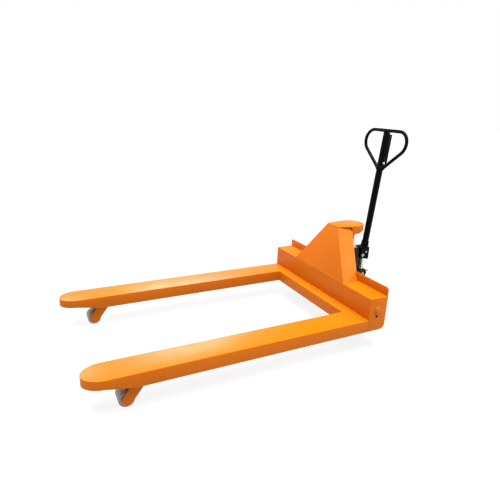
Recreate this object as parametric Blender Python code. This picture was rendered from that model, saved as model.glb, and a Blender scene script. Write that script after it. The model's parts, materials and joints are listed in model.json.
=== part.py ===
"""Wide hand pallet jack: two long forks on a heel box and a pyramid tower, with the forks raised.

Metres, +Z up, floor at z = 0. The forks point along -Y and the tiller stands at +Y; the origin is under
the middle of the whole jack. "left" is the +X side, seen by someone who holds the tiller.
Distances named back(...) are measured from the heel's front face, up(...) from the top of the forks.
"""

import math

import bmesh
import bpy
from mathutils import Matrix, Vector

# Forks and heel
OVERALL_WIDTH = 1.078
FORK_WIDTH = 0.160
FORK_LENGTH = 1.616
FORK_DEPTH = 0.074
TIP_DEPTH = 0.047
TIP_ROUND = 0.105
TAPER_FROM, TAPER_TO = 1.375, 1.525
PLATE = 0.006
END_PLATE = 0.008
BEAM_REACH = 0.069
HEEL_HEIGHT = 0.137
HEEL_DEPTH = 0.131
FLANGE_HEIGHT = 0.055
GAP = 0.0003

# Tower
TOWER_BASE_HALF, TOWER_TOP_HALF = 0.277, 0.058
TOWER_TOP = 0.441
TOWER_LEAN = 0.088
CAP_HALF, CAP_END = 0.080, 0.335
CAP_SKIRT_FRONT, CAP_SKIRT_REAR = 0.060, 0.036

# Lifting gear
DECK_HEIGHT = 0.195
LIFT_TRAVEL = 0.107
RAM_BACK = 0.285
RAM_RADIUS = 0.020
SHAFT_BACK, SHAFT_UP = 0.063, 0.0565
SHAFT_RADIUS = 0.019
FRONT_ARM = 0.0745
BRACKET_UP = 0.003
REAR_ARM_X = 0.112
AXLE_BACK, AXLE_UP = -1.420, -0.155
PIVOT_BACK, PIVOT_UP = -1.345, -0.054
ROLLER_RADIUS, ROLLER_LENGTH = 0.040, 0.084
LEVER_FACE = 0.053
LEVER_PLATE = 0.008
ROD_THICKNESS = 0.012

# Steering gear
WHEEL_RADIUS, WHEEL_WIDTH, WHEEL_INNER_X = 0.090, 0.050, 0.024
HUB_RADIUS = 0.068
AXLE_RADIUS = 0.010
SPINDLE_RADIUS, SPINDLE_BORE = 0.0225, 0.0232

# Pump
PUMP_RADIUS = 0.046
PUMP_TOP = 0.270
PUMP_FOOT = 0.012
BLOCK_LOW, BLOCK_TOP = 0.036, 0.095
PLUNGER_BACK, PLUNGER_RADIUS = 0.384, 0.011
VALVE_BACK, VALVE_UP = 0.425, 0.060
TILLER_PIVOT_BACK, TILLER_PIVOT_UP = 0.352, 0.212
PRESSURE_ARM, PRESSURE_RADIUS = 0.036, 0.012
TILLER_SWEEP = math.radians(78)

# Tiller
TILLER_TILT = math.radians(5.3)
TILLER_BACK, TILLER_UP = 0.396, 0.309
TUBE_RADIUS, TUBE_BORE = 0.020, 0.016
LOOP_TUBE = 0.0095
LOOP_TOP, LOOP_HALF = 0.761, 0.190
LOOP_SHOULDER, LOOP_FLANK = 0.073, 0.080
LOOP_WIDEST = 0.688
LEG_ANGLE = math.radians(50)
CONTROL_PIVOT, CONTROL_TOP = 0.545, 0.738
CONTROL_BACK, CONTROL_HALF = 0.026, 0.023
BOLT_RADIUS = 0.004

# The jack is centred on its own length: from the fork tips to the back of the control lever.
REAR_REACH = TILLER_BACK + CONTROL_TOP * math.sin(TILLER_TILT) + CONTROL_BACK * math.cos(TILLER_TILT)
HEEL_Y = (FORK_LENGTH - REAR_REACH) / 2

HALF_WIDTH = OVERALL_WIDTH / 2
FORK_X = HALF_WIDTH - FORK_WIDTH / 2
SIDES = {"left": 1, "right": -1}

FINISHES = {
    "orange_paint": ((0.90, 0.26, 0.012, 1), 0.35, 0.0),
    "black_paint": ((0.012, 0.012, 0.013, 1), 0.28, 0.0),
    "cast_black": ((0.02, 0.02, 0.022, 1), 0.5, 0.0),
    "chrome": ((0.75, 0.76, 0.78, 1), 0.12, 1.0),
    "steel": ((0.45, 0.45, 0.46, 1), 0.35, 1.0),
    "grey_polyurethane": ((0.42, 0.42, 0.40, 1), 0.5, 0.0),
    "black_rubber": ((0.03, 0.03, 0.03, 1), 0.75, 0.0),
}


def back(distance):
    """World Y of a point this far behind the heel's front face."""
    return HEEL_Y + distance


def up(distance):
    """World Z of a point this far above the top of the forks."""
    return DECK_HEIGHT + distance


# ---------------------------------------------------------------- making meshes


def finish_of(name):
    material = bpy.data.materials.get(name)
    if material is None:
        colour, roughness, metallic = FINISHES[name]
        material = bpy.data.materials.new(name)
        material.use_nodes = True
        shader = material.node_tree.nodes["Principled BSDF"]
        shader.inputs["Base Color"].default_value = colour
        shader.inputs["Roughness"].default_value = roughness
        shader.inputs["Metallic"].default_value = metallic
        material.diffuse_color = colour
    return material


def to_object(name, bm):
    """Turns a bmesh in world coordinates into an object."""
    bmesh.ops.recalc_face_normals(bm, faces=bm.faces)
    mesh = bpy.data.meshes.new(name)
    bm.to_mesh(mesh)
    bm.free()
    obj = bpy.data.objects.new(name, mesh)
    bpy.context.scene.collection.objects.link(obj)
    return obj


def arc(centre, radius, start, stop, steps):
    """Points on an arc, with its ends, the angles in degrees."""
    angles = [math.radians(start + (stop - start) * i / steps) for i in range(steps + 1)]
    return [(centre[0] + radius * math.cos(a), centre[1] + radius * math.sin(a)) for a in angles]


def circle(centre, radius, steps=20):
    return arc(centre, radius, 0, 360 - 360 / steps, steps - 1)


def hull(points):
    """The convex outline round the points, anticlockwise."""
    points = sorted(set(points))

    def half(ordered):
        chain = []
        for p in ordered:
            while len(chain) > 1 and (
                (chain[-1][0] - chain[-2][0]) * (p[1] - chain[-2][1])
                <= (chain[-1][1] - chain[-2][1]) * (p[0] - chain[-2][0])
            ):
                chain.pop()
            chain.append(p)
        return chain[:-1]

    return half(points) + half(points[::-1])


def prism(name, outline, axis, low, high):
    """A flat outline extruded along an axis: (y, z) points along X, (x, z) along Y, (x, y) along Z."""
    place = {"X": lambda p, h: (h, *p), "Y": lambda p, h: (p[0], h, p[1]), "Z": lambda p, h: (*p, h)}[axis]
    bm = bmesh.new()
    face = bm.faces.new([bm.verts.new(place(p, low)) for p in outline])
    pushed = bmesh.ops.extrude_face_region(bm, geom=[face])["geom"]
    move = Vector(place((0, 0), high - low))
    bmesh.ops.translate(bm, vec=move, verts=[g for g in pushed if isinstance(g, bmesh.types.BMVert)])
    return to_object(name, bm)


def block(name, low, high):
    outline = [(low[0], low[1]), (high[0], low[1]), (high[0], high[1]), (low[0], high[1])]
    return prism(name, outline, "Z", low[2], high[2])


def rod(name, start, end, radius, steps=20):
    """A round bar between two points."""
    start, end = Vector(start), Vector(end)
    along = end - start
    turn = along.to_track_quat("Z", "Y").to_matrix().to_4x4()
    bm = bmesh.new()
    bmesh.ops.create_cone(
        bm, cap_ends=True, segments=steps, radius1=radius, radius2=radius, depth=along.length,
        matrix=Matrix.Translation((start + end) / 2) @ turn,
    )
    return to_object(name, bm)


def turned(name, profile, centre, axis="X", steps=28):
    """A closed profile of (radius, height) points spun about an axis through centre."""
    bm = bmesh.new()
    ring = [bm.verts.new((r, 0, h)) for r, h in profile]
    edges = [bm.edges.new((a, b)) for a, b in zip(ring, ring[1:] + ring[:1])]
    bmesh.ops.spin(
        bm, geom=ring + edges, cent=(0, 0, 0), axis=(0, 0, 1), angle=2 * math.pi, steps=steps, use_merge=True,
    )
    bmesh.ops.remove_doubles(bm, verts=bm.verts, dist=1e-6)
    turn = {"X": Matrix.Rotation(math.pi / 2, 4, "Y"), "Z": Matrix.Identity(4)}[axis]
    bm.transform(Matrix.Translation(centre) @ turn)
    return to_object(name, bm)


def swept(name, path, radius, across, steps=10):
    """A round tube of the given radius along a flat path; across is the path plane's normal."""
    across = Vector(across).normalized()
    points = [Vector(p) for p in path]
    bm = bmesh.new()
    rings = []
    for i, point in enumerate(points):
        along = (points[min(i + 1, len(points) - 1)] - points[max(i - 1, 0)]).normalized()
        side = along.cross(across).normalized()
        rings.append([
            bm.verts.new(point + radius * (side * math.cos(a) + across * math.sin(a)))
            for a in (2 * math.pi * k / steps for k in range(steps))
        ])
    for a, b in zip(rings, rings[1:]):
        for k in range(steps):
            bm.faces.new((a[k], a[(k + 1) % steps], b[(k + 1) % steps], b[k]))
    bm.faces.new(rings[0])
    bm.faces.new(rings[-1][::-1])
    return to_object(name, bm)


def edge_round(obj, width, segments=1):
    modifier = obj.modifiers.new("edges", "BEVEL")
    modifier.width = width
    modifier.segments = segments
    modifier.limit_method = "ANGLE"
    modifier.angle_limit = math.radians(40)
    return obj


def boolean(obj, other, operation):
    other.hide_render = True
    other.display_type = "WIRE"
    modifier = obj.modifiers.new(other.name, "BOOLEAN")
    modifier.object = other
    modifier.operation = operation
    return obj


def cut(obj, *others):
    for other in others:
        boolean(obj, other, "DIFFERENCE")
    return obj


def join(obj, *others):
    for other in others:
        boolean(obj, other, "UNION")
    return obj


def cross_hole(name, y, z, radius, x_low, x_high):
    """A cutter for a round hole along X."""
    return rod(name, (x_low, y, z), (x_high, y, z), radius)


def joint_axis(name, point):
    """An empty on a joint's axis, which carries the pieces that move about it."""
    empty = bpy.data.objects.new(name, None)
    empty.location = point
    empty.empty_display_size = 0.05
    bpy.context.scene.collection.objects.link(empty)
    return empty


def settle(obj, finish, carrier):
    """Gives a finished piece its paint and hangs it on its joint's empty, with its origin there."""
    obj.data.materials.append(finish_of(finish))
    obj.data.shade_smooth()
    obj.data.set_sharp_from_angle(angle=math.radians(35))
    obj.data.transform(Matrix.Translation(-carrier.location))
    obj.parent = carrier
    return obj


def tiller_point(x, behind, along):
    """A point on the tiller: behind its axis towards the user, and along it from the tube's foot."""
    tilt = Matrix.Rotation(-TILLER_TILT, 3, "X")
    return Vector((0, back(TILLER_BACK), up(TILLER_UP))) + tilt @ Vector((x, behind, along))


def onto_tiller(obj):
    """Moves a mesh made in tiller coordinates (x, behind, along) into place."""
    foot = Vector((0, back(TILLER_BACK), up(TILLER_UP)))
    obj.data.transform(Matrix.Translation(foot) @ Matrix.Rotation(-TILLER_TILT, 4, "X"))
    return obj


# ---------------------------------------------------------------- welded frame


def fork_outline(x, margin):
    """Plan of a fork with a rounded tip, drawn in by a margin at its sides and tip."""
    half = FORK_WIDTH / 2 - margin
    start = back(-FORK_LENGTH + TIP_ROUND)
    tip = [
        (x + half * math.cos(a), start + (TIP_ROUND - margin) * math.sin(a))
        for a in (math.radians(180 + 180 * i / 20) for i in range(21))
    ]
    heel = back(-GAP) if margin == 0 else back(0.02)
    return [(x + half, heel), (x - half, heel)] + tip


def make_fork(side, sign, frame):
    x = sign * FORK_X
    fork = prism(f"fork_{side}", fork_outline(x, 0), "Z", up(-FORK_DEPTH), up(0))
    edge_round(fork, 0.003, 2)
    hollow = prism(f"fork_hollow_{side}", fork_outline(x, PLATE), "Z", up(-0.2), up(-PLATE))
    wide = FORK_WIDTH
    taper = prism(
        f"fork_taper_{side}",
        [
            (back(-TAPER_FROM), up(-FORK_DEPTH)), (back(-TAPER_TO), up(-TIP_DEPTH)),
            (back(-2), up(-TIP_DEPTH)), (back(-2), up(-0.2)), (back(-TAPER_FROM), up(-0.2)),
        ],
        "X", x - wide, x + wide,
    )
    settle(cut(fork, hollow, taper), "orange_paint", frame)


def make_cross_beam(frame):
    """An upside-down channel that closes the space between the forks in front of the heel."""
    half = HALF_WIDTH - FORK_WIDTH - GAP
    front, rear, low = back(-BEAM_REACH), back(-GAP), up(-FORK_DEPTH)
    outline = [
        (front, up(0)), (rear, up(0)), (rear, low), (rear - PLATE, low), (rear - PLATE, up(-PLATE)),
        (front + PLATE, up(-PLATE)), (front + PLATE, low), (front, low),
    ]
    settle(prism("cross_beam", outline, "X", -half, half), "orange_paint", frame)


def make_heel(frame):
    inside = HALF_WIDTH - END_PLATE - GAP
    front = block(
        "heel_front", (-inside, back(0), up(GAP)), (inside, back(PLATE), up(HEEL_HEIGHT - PLATE - GAP)),
    )
    settle(front, "orange_paint", frame)
    top = block(
        "heel_top", (-inside, back(0), up(HEEL_HEIGHT - PLATE)),
        (inside, back(HEEL_DEPTH - PLATE - GAP), up(HEEL_HEIGHT)),
    )
    settle(edge_round(top, 0.002), "orange_paint", frame)

    # The rear plate rises above the box as a flange and is notched for the lift arms.
    notch_half, notch_top = 0.135, up(0.110)
    shoulder, crest, round_off = up(HEEL_HEIGHT + GAP), up(HEEL_HEIGHT + FLANGE_HEIGHT), 0.018
    half = HALF_WIDTH
    outline = [
        (inside, up(-FORK_DEPTH)), (inside, shoulder), (half, shoulder),
        *arc((half - round_off, crest - round_off), round_off, 0, 90, 6),
        *arc((-half + round_off, crest - round_off), round_off, 90, 180, 6),
        (-half, shoulder), (-inside, shoulder), (-inside, up(-FORK_DEPTH)),
        (-notch_half, up(-FORK_DEPTH)), (-notch_half, notch_top), (notch_half, notch_top),
        (notch_half, up(-FORK_DEPTH)),
    ]
    rear = prism("heel_rear_flange", outline, "Y", back(HEEL_DEPTH - PLATE), back(HEEL_DEPTH))
    settle(rear, "orange_paint", frame)


def make_end_plate(side, sign, frame):
    low, high, corner = up(-FORK_DEPTH), up(HEEL_HEIGHT), 0.034
    outline = [
        (back(0), low), *arc((back(HEEL_DEPTH - corner), low + corner), corner, -90, 0, 8),
        (back(HEEL_DEPTH), high), (back(0), high),
    ]
    ends = sorted((sign * (HALF_WIDTH - END_PLATE), sign * HALF_WIDTH))
    plate = edge_round(prism(f"end_plate_{side}", outline, "X", *ends), 0.0015)
    wide = (ends[0] - 0.02, ends[1] + 0.02)
    shaft_hole = cross_hole(f"shaft_hole_{side}", back(SHAFT_BACK), up(SHAFT_UP), SHAFT_RADIUS + GAP, *wide)
    lock_hole = cross_hole(f"lock_hole_{side}", back(SHAFT_BACK - 0.003), up(0.016), 0.006, *wide)
    settle(cut(plate, shaft_hole, lock_hole), "orange_paint", frame)

    # A turned collar on the plate's outer face holds each end of the lift shaft.
    face = sign * (HALF_WIDTH + GAP)
    bore, outer, proud = SHAFT_RADIUS + GAP, SHAFT_RADIUS + 0.006, sign * 0.006
    profile = [(bore, 0), (outer, 0), (outer, proud * 0.7), (outer - 0.002, proud), (bore, proud)]
    collar = turned(f"shaft_collar_{side}", profile, (face, back(SHAFT_BACK), up(SHAFT_UP)))
    settle(collar, "orange_paint", frame)


def lean(height):
    """How far back the tower's front has leaned at this height above the forks."""
    return TOWER_LEAN * (height - HEEL_HEIGHT) / (TOWER_TOP - HEEL_HEIGHT)


def tower_half(height):
    share = (height - HEEL_HEIGHT) / (TOWER_TOP - HEEL_HEIGHT)
    return TOWER_BASE_HALF + (TOWER_TOP_HALF - TOWER_BASE_HALF) * share


def slab(name, corners, thick):
    """A flat plate from its outer corners, thickened by the vector thick."""
    bm = bmesh.new()
    face = bm.faces.new([bm.verts.new(c) for c in corners])
    pushed = bmesh.ops.extrude_face_region(bm, geom=[face])["geom"]
    bmesh.ops.translate(bm, vec=thick, verts=[g for g in pushed if isinstance(g, bmesh.types.BMVert)])
    return to_object(name, bm)


def make_tower(frame):
    foot, crown = HEEL_HEIGHT + GAP, TOWER_TOP - GAP
    corners = [
        (s * tower_half(h), back(lean(h)), up(h)) for s, h in ((-1, foot), (1, foot), (1, crown), (-1, crown))
    ]
    front = slab("tower_front", corners, (0, PLATE, 0))
    settle(edge_round(front, 0.0015), "orange_paint", frame)

    # Each side plate follows the front's slanting edge, and steps over the flange behind it.
    clear = 0.002
    flange_front, flange_top = HEEL_DEPTH - PLATE - clear, HEEL_HEIGHT + FLANGE_HEIGHT + clear
    for side, sign in SIDES.items():
        edge = [
            (lean(foot) + PLATE + GAP, foot), (flange_front, foot),
            (flange_front, flange_top), (HEEL_DEPTH + clear, flange_top),
            (0.207, crown), (lean(crown) + PLATE + GAP, crown),
        ]
        corners = [(sign * tower_half(h), back(b), up(h)) for b, h in edge]
        plate = slab(f"tower_side_{side}", corners, (-sign * PLATE * 1.2, 0, 0))
        settle(edge_round(plate, 0.0012), "orange_paint", frame)


def cap_outline(margin):
    centre = CAP_END - CAP_HALF
    radius = CAP_HALF - margin
    return [
        (TOWER_TOP_HALF - margin, back(TOWER_LEAN + margin)), (radius, back(0.195)),
        *arc((0, back(centre)), radius, 0, 180, 18),
        (-radius, back(0.195)), (-TOWER_TOP_HALF + margin, back(TOWER_LEAN + margin)),
    ]


def make_cap(frame):
    """The tongue over the ram: a plate with a skirt, whose lower edge rises towards the back."""
    top = up(TOWER_TOP + PLATE)
    cap = prism("tower_cap", cap_outline(0), "Z", up(TOWER_TOP - CAP_SKIRT_FRONT), top)
    edge_round(cap, 0.003, 2)
    hollow = prism("cap_hollow", cap_outline(PLATE), "Z", up(0.3), up(TOWER_TOP))
    open_front = block("cap_front", (-0.1, back(0.05), up(0.3)), (0.1, back(0.212), up(TOWER_TOP)))
    slope = prism(
        "cap_slope",
        [
            (back(0.210), up(TOWER_TOP - CAP_SKIRT_FRONT)), (back(0.30), up(TOWER_TOP - CAP_SKIRT_REAR)),
            (back(0.4), up(TOWER_TOP - CAP_SKIRT_REAR)), (back(0.4), up(0.3)), (back(0.210), up(0.3)),
        ],
        "X", -0.1, 0.1,
    )
    settle(cut(cap, hollow, open_front, slope), "orange_paint", frame)

    seat_top, seat_low = TOWER_TOP - GAP, TOWER_TOP - 0.022
    seat = [(0, seat_low), (0.026, seat_low), (0.030, seat_low + 0.004), (0.030, seat_top), (0, seat_top)]
    ram_centre = (0, back(RAM_BACK), DECK_HEIGHT)
    settle(turned("ram_seat", seat, ram_centre, "Z"), "orange_paint", frame)
    ram_low = PUMP_TOP - 0.020
    ram = [
        (0, ram_low), (RAM_RADIUS - 0.002, ram_low), (RAM_RADIUS, ram_low + 0.002),
        (RAM_RADIUS, seat_low - GAP), (0, seat_low - GAP),
    ]
    settle(turned("ram", ram, ram_centre, "Z"), "chrome", frame)


# ---------------------------------------------------------------- lift linkage

# Angles of the arms when raised: each swings as far past its middle position when the forks are down.
REAR_ARM = math.hypot(RAM_BACK - SHAFT_BACK, SHAFT_UP - BRACKET_UP)
ROCKER_SWING = 2 * math.asin(LIFT_TRAVEL / 2 / REAR_ARM)
ROD_TRAVEL = 2 * FRONT_ARM * math.sin(ROCKER_SWING / 2)
LEVER_LENGTH = math.hypot(AXLE_BACK - PIVOT_BACK, AXLE_UP - PIVOT_UP)
LEVER_SWING = math.asin((PIVOT_UP - AXLE_UP) / LEVER_LENGTH) - math.asin(
    (PIVOT_UP - AXLE_UP - LIFT_TRAVEL) / LEVER_LENGTH
)
LEVER_ARM = ROD_TRAVEL / 2 / math.sin(LEVER_SWING / 2)
LEVER_PIN = (
    back(PIVOT_BACK - LEVER_ARM * math.sin(LEVER_SWING / 2)),
    up(PIVOT_UP + LEVER_ARM * math.cos(LEVER_SWING / 2)),
)
ROCKER_PIN = (
    back(SHAFT_BACK - FRONT_ARM * math.sin(ROCKER_SWING / 2)),
    up(SHAFT_UP - FRONT_ARM * math.cos(ROCKER_SWING / 2)),
)
PIN_RADIUS = 0.0065
EYE_RADIUS, EYE_HOLE = 0.0115, 0.0092
ARM_EYE, ARM_SLIP = 0.0102, 0.008
CHEEK_RADIUS, CHEEK_EAR = 0.027, 0.0095


def make_rocker(rocker):
    """The lift shaft across the heel, with an arm down to each push rod and two back to the pump."""
    y, z = back(SHAFT_BACK), up(SHAFT_UP)
    reach = HALF_WIDTH + 0.004
    shaft = rod("rocker_shaft", (-reach, y, z), (reach, y, z), SHAFT_RADIUS)
    bracket = (back(RAM_BACK), up(BRACKET_UP))
    along = Vector((bracket[0] - y, bracket[1] - z)).normalized()
    for side, sign in SIDES.items():
        outline = hull(circle((y, z), 0.030) + circle(bracket, 0.017) + circle((y + 0.1, z - 0.024), 0.020))
        arm = prism(f"rear_arm_{side}", outline, "X", sign * REAR_ARM_X - 0.006, sign * REAR_ARM_X + 0.006)
        # The eye is a slot, because the bracket can't follow the arm's arc.
        slip = (bracket[0] - ARM_SLIP * along.x, bracket[1] - ARM_SLIP * along.y)
        slot = hull(circle(bracket, ARM_EYE) + circle(slip, ARM_EYE))
        eye = prism(f"rear_eye_{side}", slot, "X", sign * REAR_ARM_X - 0.02, sign * REAR_ARM_X + 0.02)
        join(shaft, arm)
        cut(shaft, eye)
        x = sign * FORK_X
        for step in (-1, 1):
            near = x + step * (ROD_THICKNESS / 2 + 0.006)
            cheek = hull(circle((y, z), 0.028) + circle(ROCKER_PIN, 0.013))
            join(shaft, prism(f"front_arm_{side}_{step}", cheek, "X", near - 0.004, near + 0.004))
        pin_reach = ROD_THICKNESS / 2 + 0.013
        pin = rod(f"front_pin_{side}", (x - pin_reach, *ROCKER_PIN), (x + pin_reach, *ROCKER_PIN), PIN_RADIUS)
        join(shaft, pin)
    settle(shaft, "black_paint", rocker)


def make_push_rod(side, sign, carrier):
    x = sign * FORK_X
    # Between its pins' highest and lowest places, so that it clears both as it slides straight.
    drop = LEVER_ARM * (1 - math.cos(LEVER_SWING / 2)) / 2
    rise = FRONT_ARM * (1 - math.cos(ROCKER_SWING / 2)) / 2
    front = (LEVER_PIN[0], LEVER_PIN[1] + drop)
    rear = (ROCKER_PIN[0], ROCKER_PIN[1] - rise)
    bar = 0.007
    outline = [
        *arc(front, EYE_RADIUS, 38, 322, 12),
        (front[0] + 0.02, front[1] - bar), (rear[0] - 0.02, rear[1] - bar),
        *arc(rear, EYE_RADIUS, -142, 142, 12),
        (rear[0] - 0.02, rear[1] + bar), (front[0] + 0.02, front[1] + bar),
    ]
    edges = (x - ROD_THICKNESS / 2, x + ROD_THICKNESS / 2)
    body = prism(f"push_rod_{side}", outline, "X", *edges)
    holes = [
        cross_hole(f"rod_eye_{side}_{i}", *p, EYE_HOLE, edges[0] - 0.01, edges[1] + 0.01)
        for i, p in enumerate((front, rear))
    ]
    settle(cut(body, *holes), "steel", carrier)


def make_load_lever(side, sign, frame, carrier, roller):
    """Two cheek plates about a cross pin in the fork, with the load roller at their lower end."""
    x = sign * FORK_X
    pivot, axle = (back(PIVOT_BACK), up(PIVOT_UP)), (back(AXLE_BACK), up(AXLE_UP))
    skirt_inside = FORK_WIDTH / 2 - PLATE - GAP
    pin = rod(f"lever_pin_{side}", (x - skirt_inside, *pivot), (x + skirt_inside, *pivot), AXLE_RADIUS)
    settle(pin, "steel", frame)

    outline = hull(circle(axle, CHEEK_RADIUS) + circle(pivot, CHEEK_RADIUS) + circle(LEVER_PIN, CHEEK_EAR))
    for place, step in (("outer", 1), ("inner", -1)):
        faces = sorted((x + step * sign * LEVER_FACE, x + step * sign * (LEVER_FACE - LEVER_PLATE)))
        plate = edge_round(prism(f"lever_{side}_{place}", outline, "X", *faces), 0.001)
        wide = (faces[0] - 0.01, faces[1] + 0.01)
        holes = [
            cross_hole(f"lever_hole_{side}_{place}_{i}", *p, r + GAP, *wide)
            for i, (p, r) in enumerate(((pivot, AXLE_RADIUS), (axle, 0.008), (LEVER_PIN, PIN_RADIUS)))
        ]
        settle(cut(plate, *holes), "orange_paint", carrier)

    inside = LEVER_FACE - LEVER_PLATE - GAP
    spacer = [(AXLE_RADIUS + GAP, -inside), (0.015, -inside), (0.015, inside), (AXLE_RADIUS + GAP, inside)]
    settle(turned(f"lever_spacer_{side}", spacer, (x, *pivot), steps=20), "orange_paint", carrier)
    reach = LEVER_FACE + 0.002
    rod_pin = rod(f"rod_pin_{side}", (x - reach, *LEVER_PIN), (x + reach, *LEVER_PIN), PIN_RADIUS)
    settle(rod_pin, "steel", carrier)
    load_axle = rod(f"load_axle_{side}", (x - reach, *axle), (x + reach, *axle), 0.008)
    settle(load_axle, "steel", carrier)

    half, rim = ROLLER_LENGTH / 2, 0.004
    tread = [
        (0.0263, -half), (ROLLER_RADIUS - rim, -half), (ROLLER_RADIUS, -half + rim),
        (ROLLER_RADIUS, half - rim), (ROLLER_RADIUS - rim, half), (0.0263, half),
    ]
    settle(turned(f"load_roller_{side}", tread, (x, *axle)), "grey_polyurethane", roller)
    core = [(0.0083, -half), (0.026, -half), (0.026, half), (0.0083, half)]
    settle(turned(f"roller_core_{side}", core, (x, *axle)), "steel", roller)


# ---------------------------------------------------------------- pump and steering


def make_bracket(bracket):
    """The ring under the pump that the lift arms carry: it rises and falls but doesn't steer."""
    y, z = back(RAM_BACK), up(BRACKET_UP)
    rim, half = 0.062, 0.008
    profile = [(SPINDLE_BORE, -half), (rim, -half), (rim, half), (SPINDLE_BORE, half)]
    ring = turned("base_bracket", profile, (0, y, z), "Z")
    for side, sign in SIDES.items():
        join(ring, rod(f"trunnion_{side}", (sign * 0.050, y, z), (sign * 0.121, y, z), 0.009))
    settle(edge_round(ring, 0.001), "cast_black", bracket)
    low = z - half - GAP
    race = [(SPINDLE_BORE, -0.0074), (0.044, -0.0074), (0.044, 0), (SPINDLE_BORE, 0)]
    settle(turned("thrust_bearing", race, (0, y, low), "Z"), "steel", bracket)


def make_axle_block(pump):
    y = back(RAM_BACK)
    high = up(BRACKET_UP) - 0.016
    body = edge_round(block("axle_block", (-0.021, y - 0.032, 0.060), (0.021, y + 0.032, high)), 0.003)
    spindle = rod("spindle", (0, y, high - 0.02), (0, y, up(PUMP_FOOT) - GAP), SPINDLE_RADIUS)
    bore = cross_hole("axle_bore", y, WHEEL_RADIUS, AXLE_RADIUS + GAP, -0.05, 0.05)
    settle(cut(join(body, spindle), bore), "cast_black", pump)
    reach = WHEEL_INNER_X + WHEEL_WIDTH + 0.001
    axle = [(0, -reach - 0.005), (0.016, -reach - 0.005), (0.016, -reach), (AXLE_RADIUS, -reach)]
    axle += [(r, -h) for r, h in reversed(axle)]
    settle(turned("steer_axle", axle, (0, y, WHEEL_RADIUS), steps=20), "steel", pump)


def make_steer_wheel(side, sign, wheel):
    centre = (sign * (WHEEL_INNER_X + WHEEL_WIDTH / 2), back(RAM_BACK), WHEEL_RADIUS)
    half, edge = WHEEL_WIDTH / 2, 0.007
    tyre = [
        (HUB_RADIUS + GAP, -half), (WHEEL_RADIUS - edge, -half), (WHEEL_RADIUS - 0.002, -half + 0.003),
        (WHEEL_RADIUS, -half + edge), (WHEEL_RADIUS, half - edge), (WHEEL_RADIUS - 0.002, half - 0.003),
        (WHEEL_RADIUS - edge, half), (HUB_RADIUS + GAP, half),
    ]
    settle(turned(f"steer_tyre_{side}", tyre, centre), "black_rubber", wheel)
    rim, web, boss = half - 0.001, 0.008, 0.024
    hub = [
        (AXLE_RADIUS + GAP, -rim), (boss, -rim), (boss + 0.004, -web), (HUB_RADIUS - 0.010, -web),
        (HUB_RADIUS - 0.006, -rim), (HUB_RADIUS, -rim),
    ]
    hub += [(r, -h) for r, h in reversed(hub)]
    settle(turned(f"steer_hub_{side}", hub, centre), "cast_black", wheel)


def make_pump(pump):
    """The cast body: the ram's cylinder, the plunger's block behind it, and the tiller's lug."""
    y = back(RAM_BACK)
    foot, top = up(PUMP_FOOT), up(PUMP_TOP)
    wall = PUMP_RADIUS
    body = turned(
        "pump_housing",
        [
            (0, foot), (wall + 0.010, foot), (wall + 0.010, foot + 0.012), (wall, foot + 0.020),
            (wall, top - 0.020), (wall - 0.006, top - 0.012), (wall - 0.006, top), (0, top),
        ],
        (0, y, 0), "Z",
    )
    block_low, block_top = up(BLOCK_LOW), up(BLOCK_TOP)
    rear = edge_round(
        block("plunger_block", (-0.030, y + 0.02, block_low), (0.030, back(0.412), block_top)), 0.006, 3
    )
    pivot = (back(TILLER_PIVOT_BACK), up(TILLER_PIVOT_UP))
    lug_points = circle(pivot, 0.0145) + [(y + 0.03, up(0.240)), (y + 0.03, up(0.165))]
    lug = prism("tiller_lug", hull(lug_points), "X", -0.021, 0.021)
    valve_lugs = []
    for i, x in enumerate((-0.008, 0.008)):
        low, high = (x - 0.003, back(0.405), up(0.048)), (x + 0.003, back(0.434), up(0.072))
        ear = block(f"valve_lug_{i}", low, high)
        valve_lugs.append(edge_round(ear, 0.001))
    valve_pin = rod("valve_pin", (-0.010, *valve_axis()), (0.010, *valve_axis()), 0.003, 16)
    join(body, rear, lug, *valve_lugs, valve_pin)
    ram_bore = rod("ram_bore", (0, y, up(PUMP_TOP - 0.140)), (0, y, top + 0.05), RAM_RADIUS + 0.0005, 28)
    plunger_y = back(PLUNGER_BACK)
    plunger_bore = rod(
        "plunger_bore", (0, plunger_y, up(0.040)), (0, plunger_y, block_top + 0.02), PLUNGER_RADIUS + 0.0005
    )
    pin_bore = cross_hole("pin_bore", *pivot, 0.008 + GAP, -0.05, 0.05)
    settle(cut(body, ram_bore, plunger_bore, pin_bore), "cast_black", pump)

    bore = RAM_RADIUS + 0.0006
    gland = [(bore, GAP), (0.031, GAP), (0.031, 0.007), (0.028, 0.010), (bore, 0.010)]
    settle(turned("cylinder_gland", gland, (0, y, top), "Z"), "steel", pump)
    pin = rod("tiller_pivot_pin", (-0.042, *pivot), (0.042, *pivot), 0.008)
    settle(pin, "steel", pump)
    settle(make_plug(y), "steel", pump)


def make_plug(y):
    """The oil filler plug: a hexagon head on the cylinder's flank, towards the tiller."""
    height = up(0.130)
    near = y + PUMP_RADIUS + 0.0005
    head = prism("filler_plug", circle((0, height), 0.008, 6), "Y", near, near + 0.007)
    return edge_round(head, 0.0008)


def make_plunger(plunger):
    y = back(PLUNGER_BACK)
    top = TILLER_PIVOT_UP + PRESSURE_ARM * math.sin(TILLER_SWEEP / 2) - PRESSURE_RADIUS - 0.001
    cap, thick = 0.0155, 0.010
    low = 0.088
    profile = [
        (0, low), (PLUNGER_RADIUS, low), (PLUNGER_RADIUS, top - thick), (cap, top - thick),
        (cap, top - 0.002), (cap - 0.002, top), (0, top),
    ]
    settle(turned("pump_plunger", profile, (0, y, DECK_HEIGHT), "Z", 20), "chrome", plunger)
    return top - thick


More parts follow.
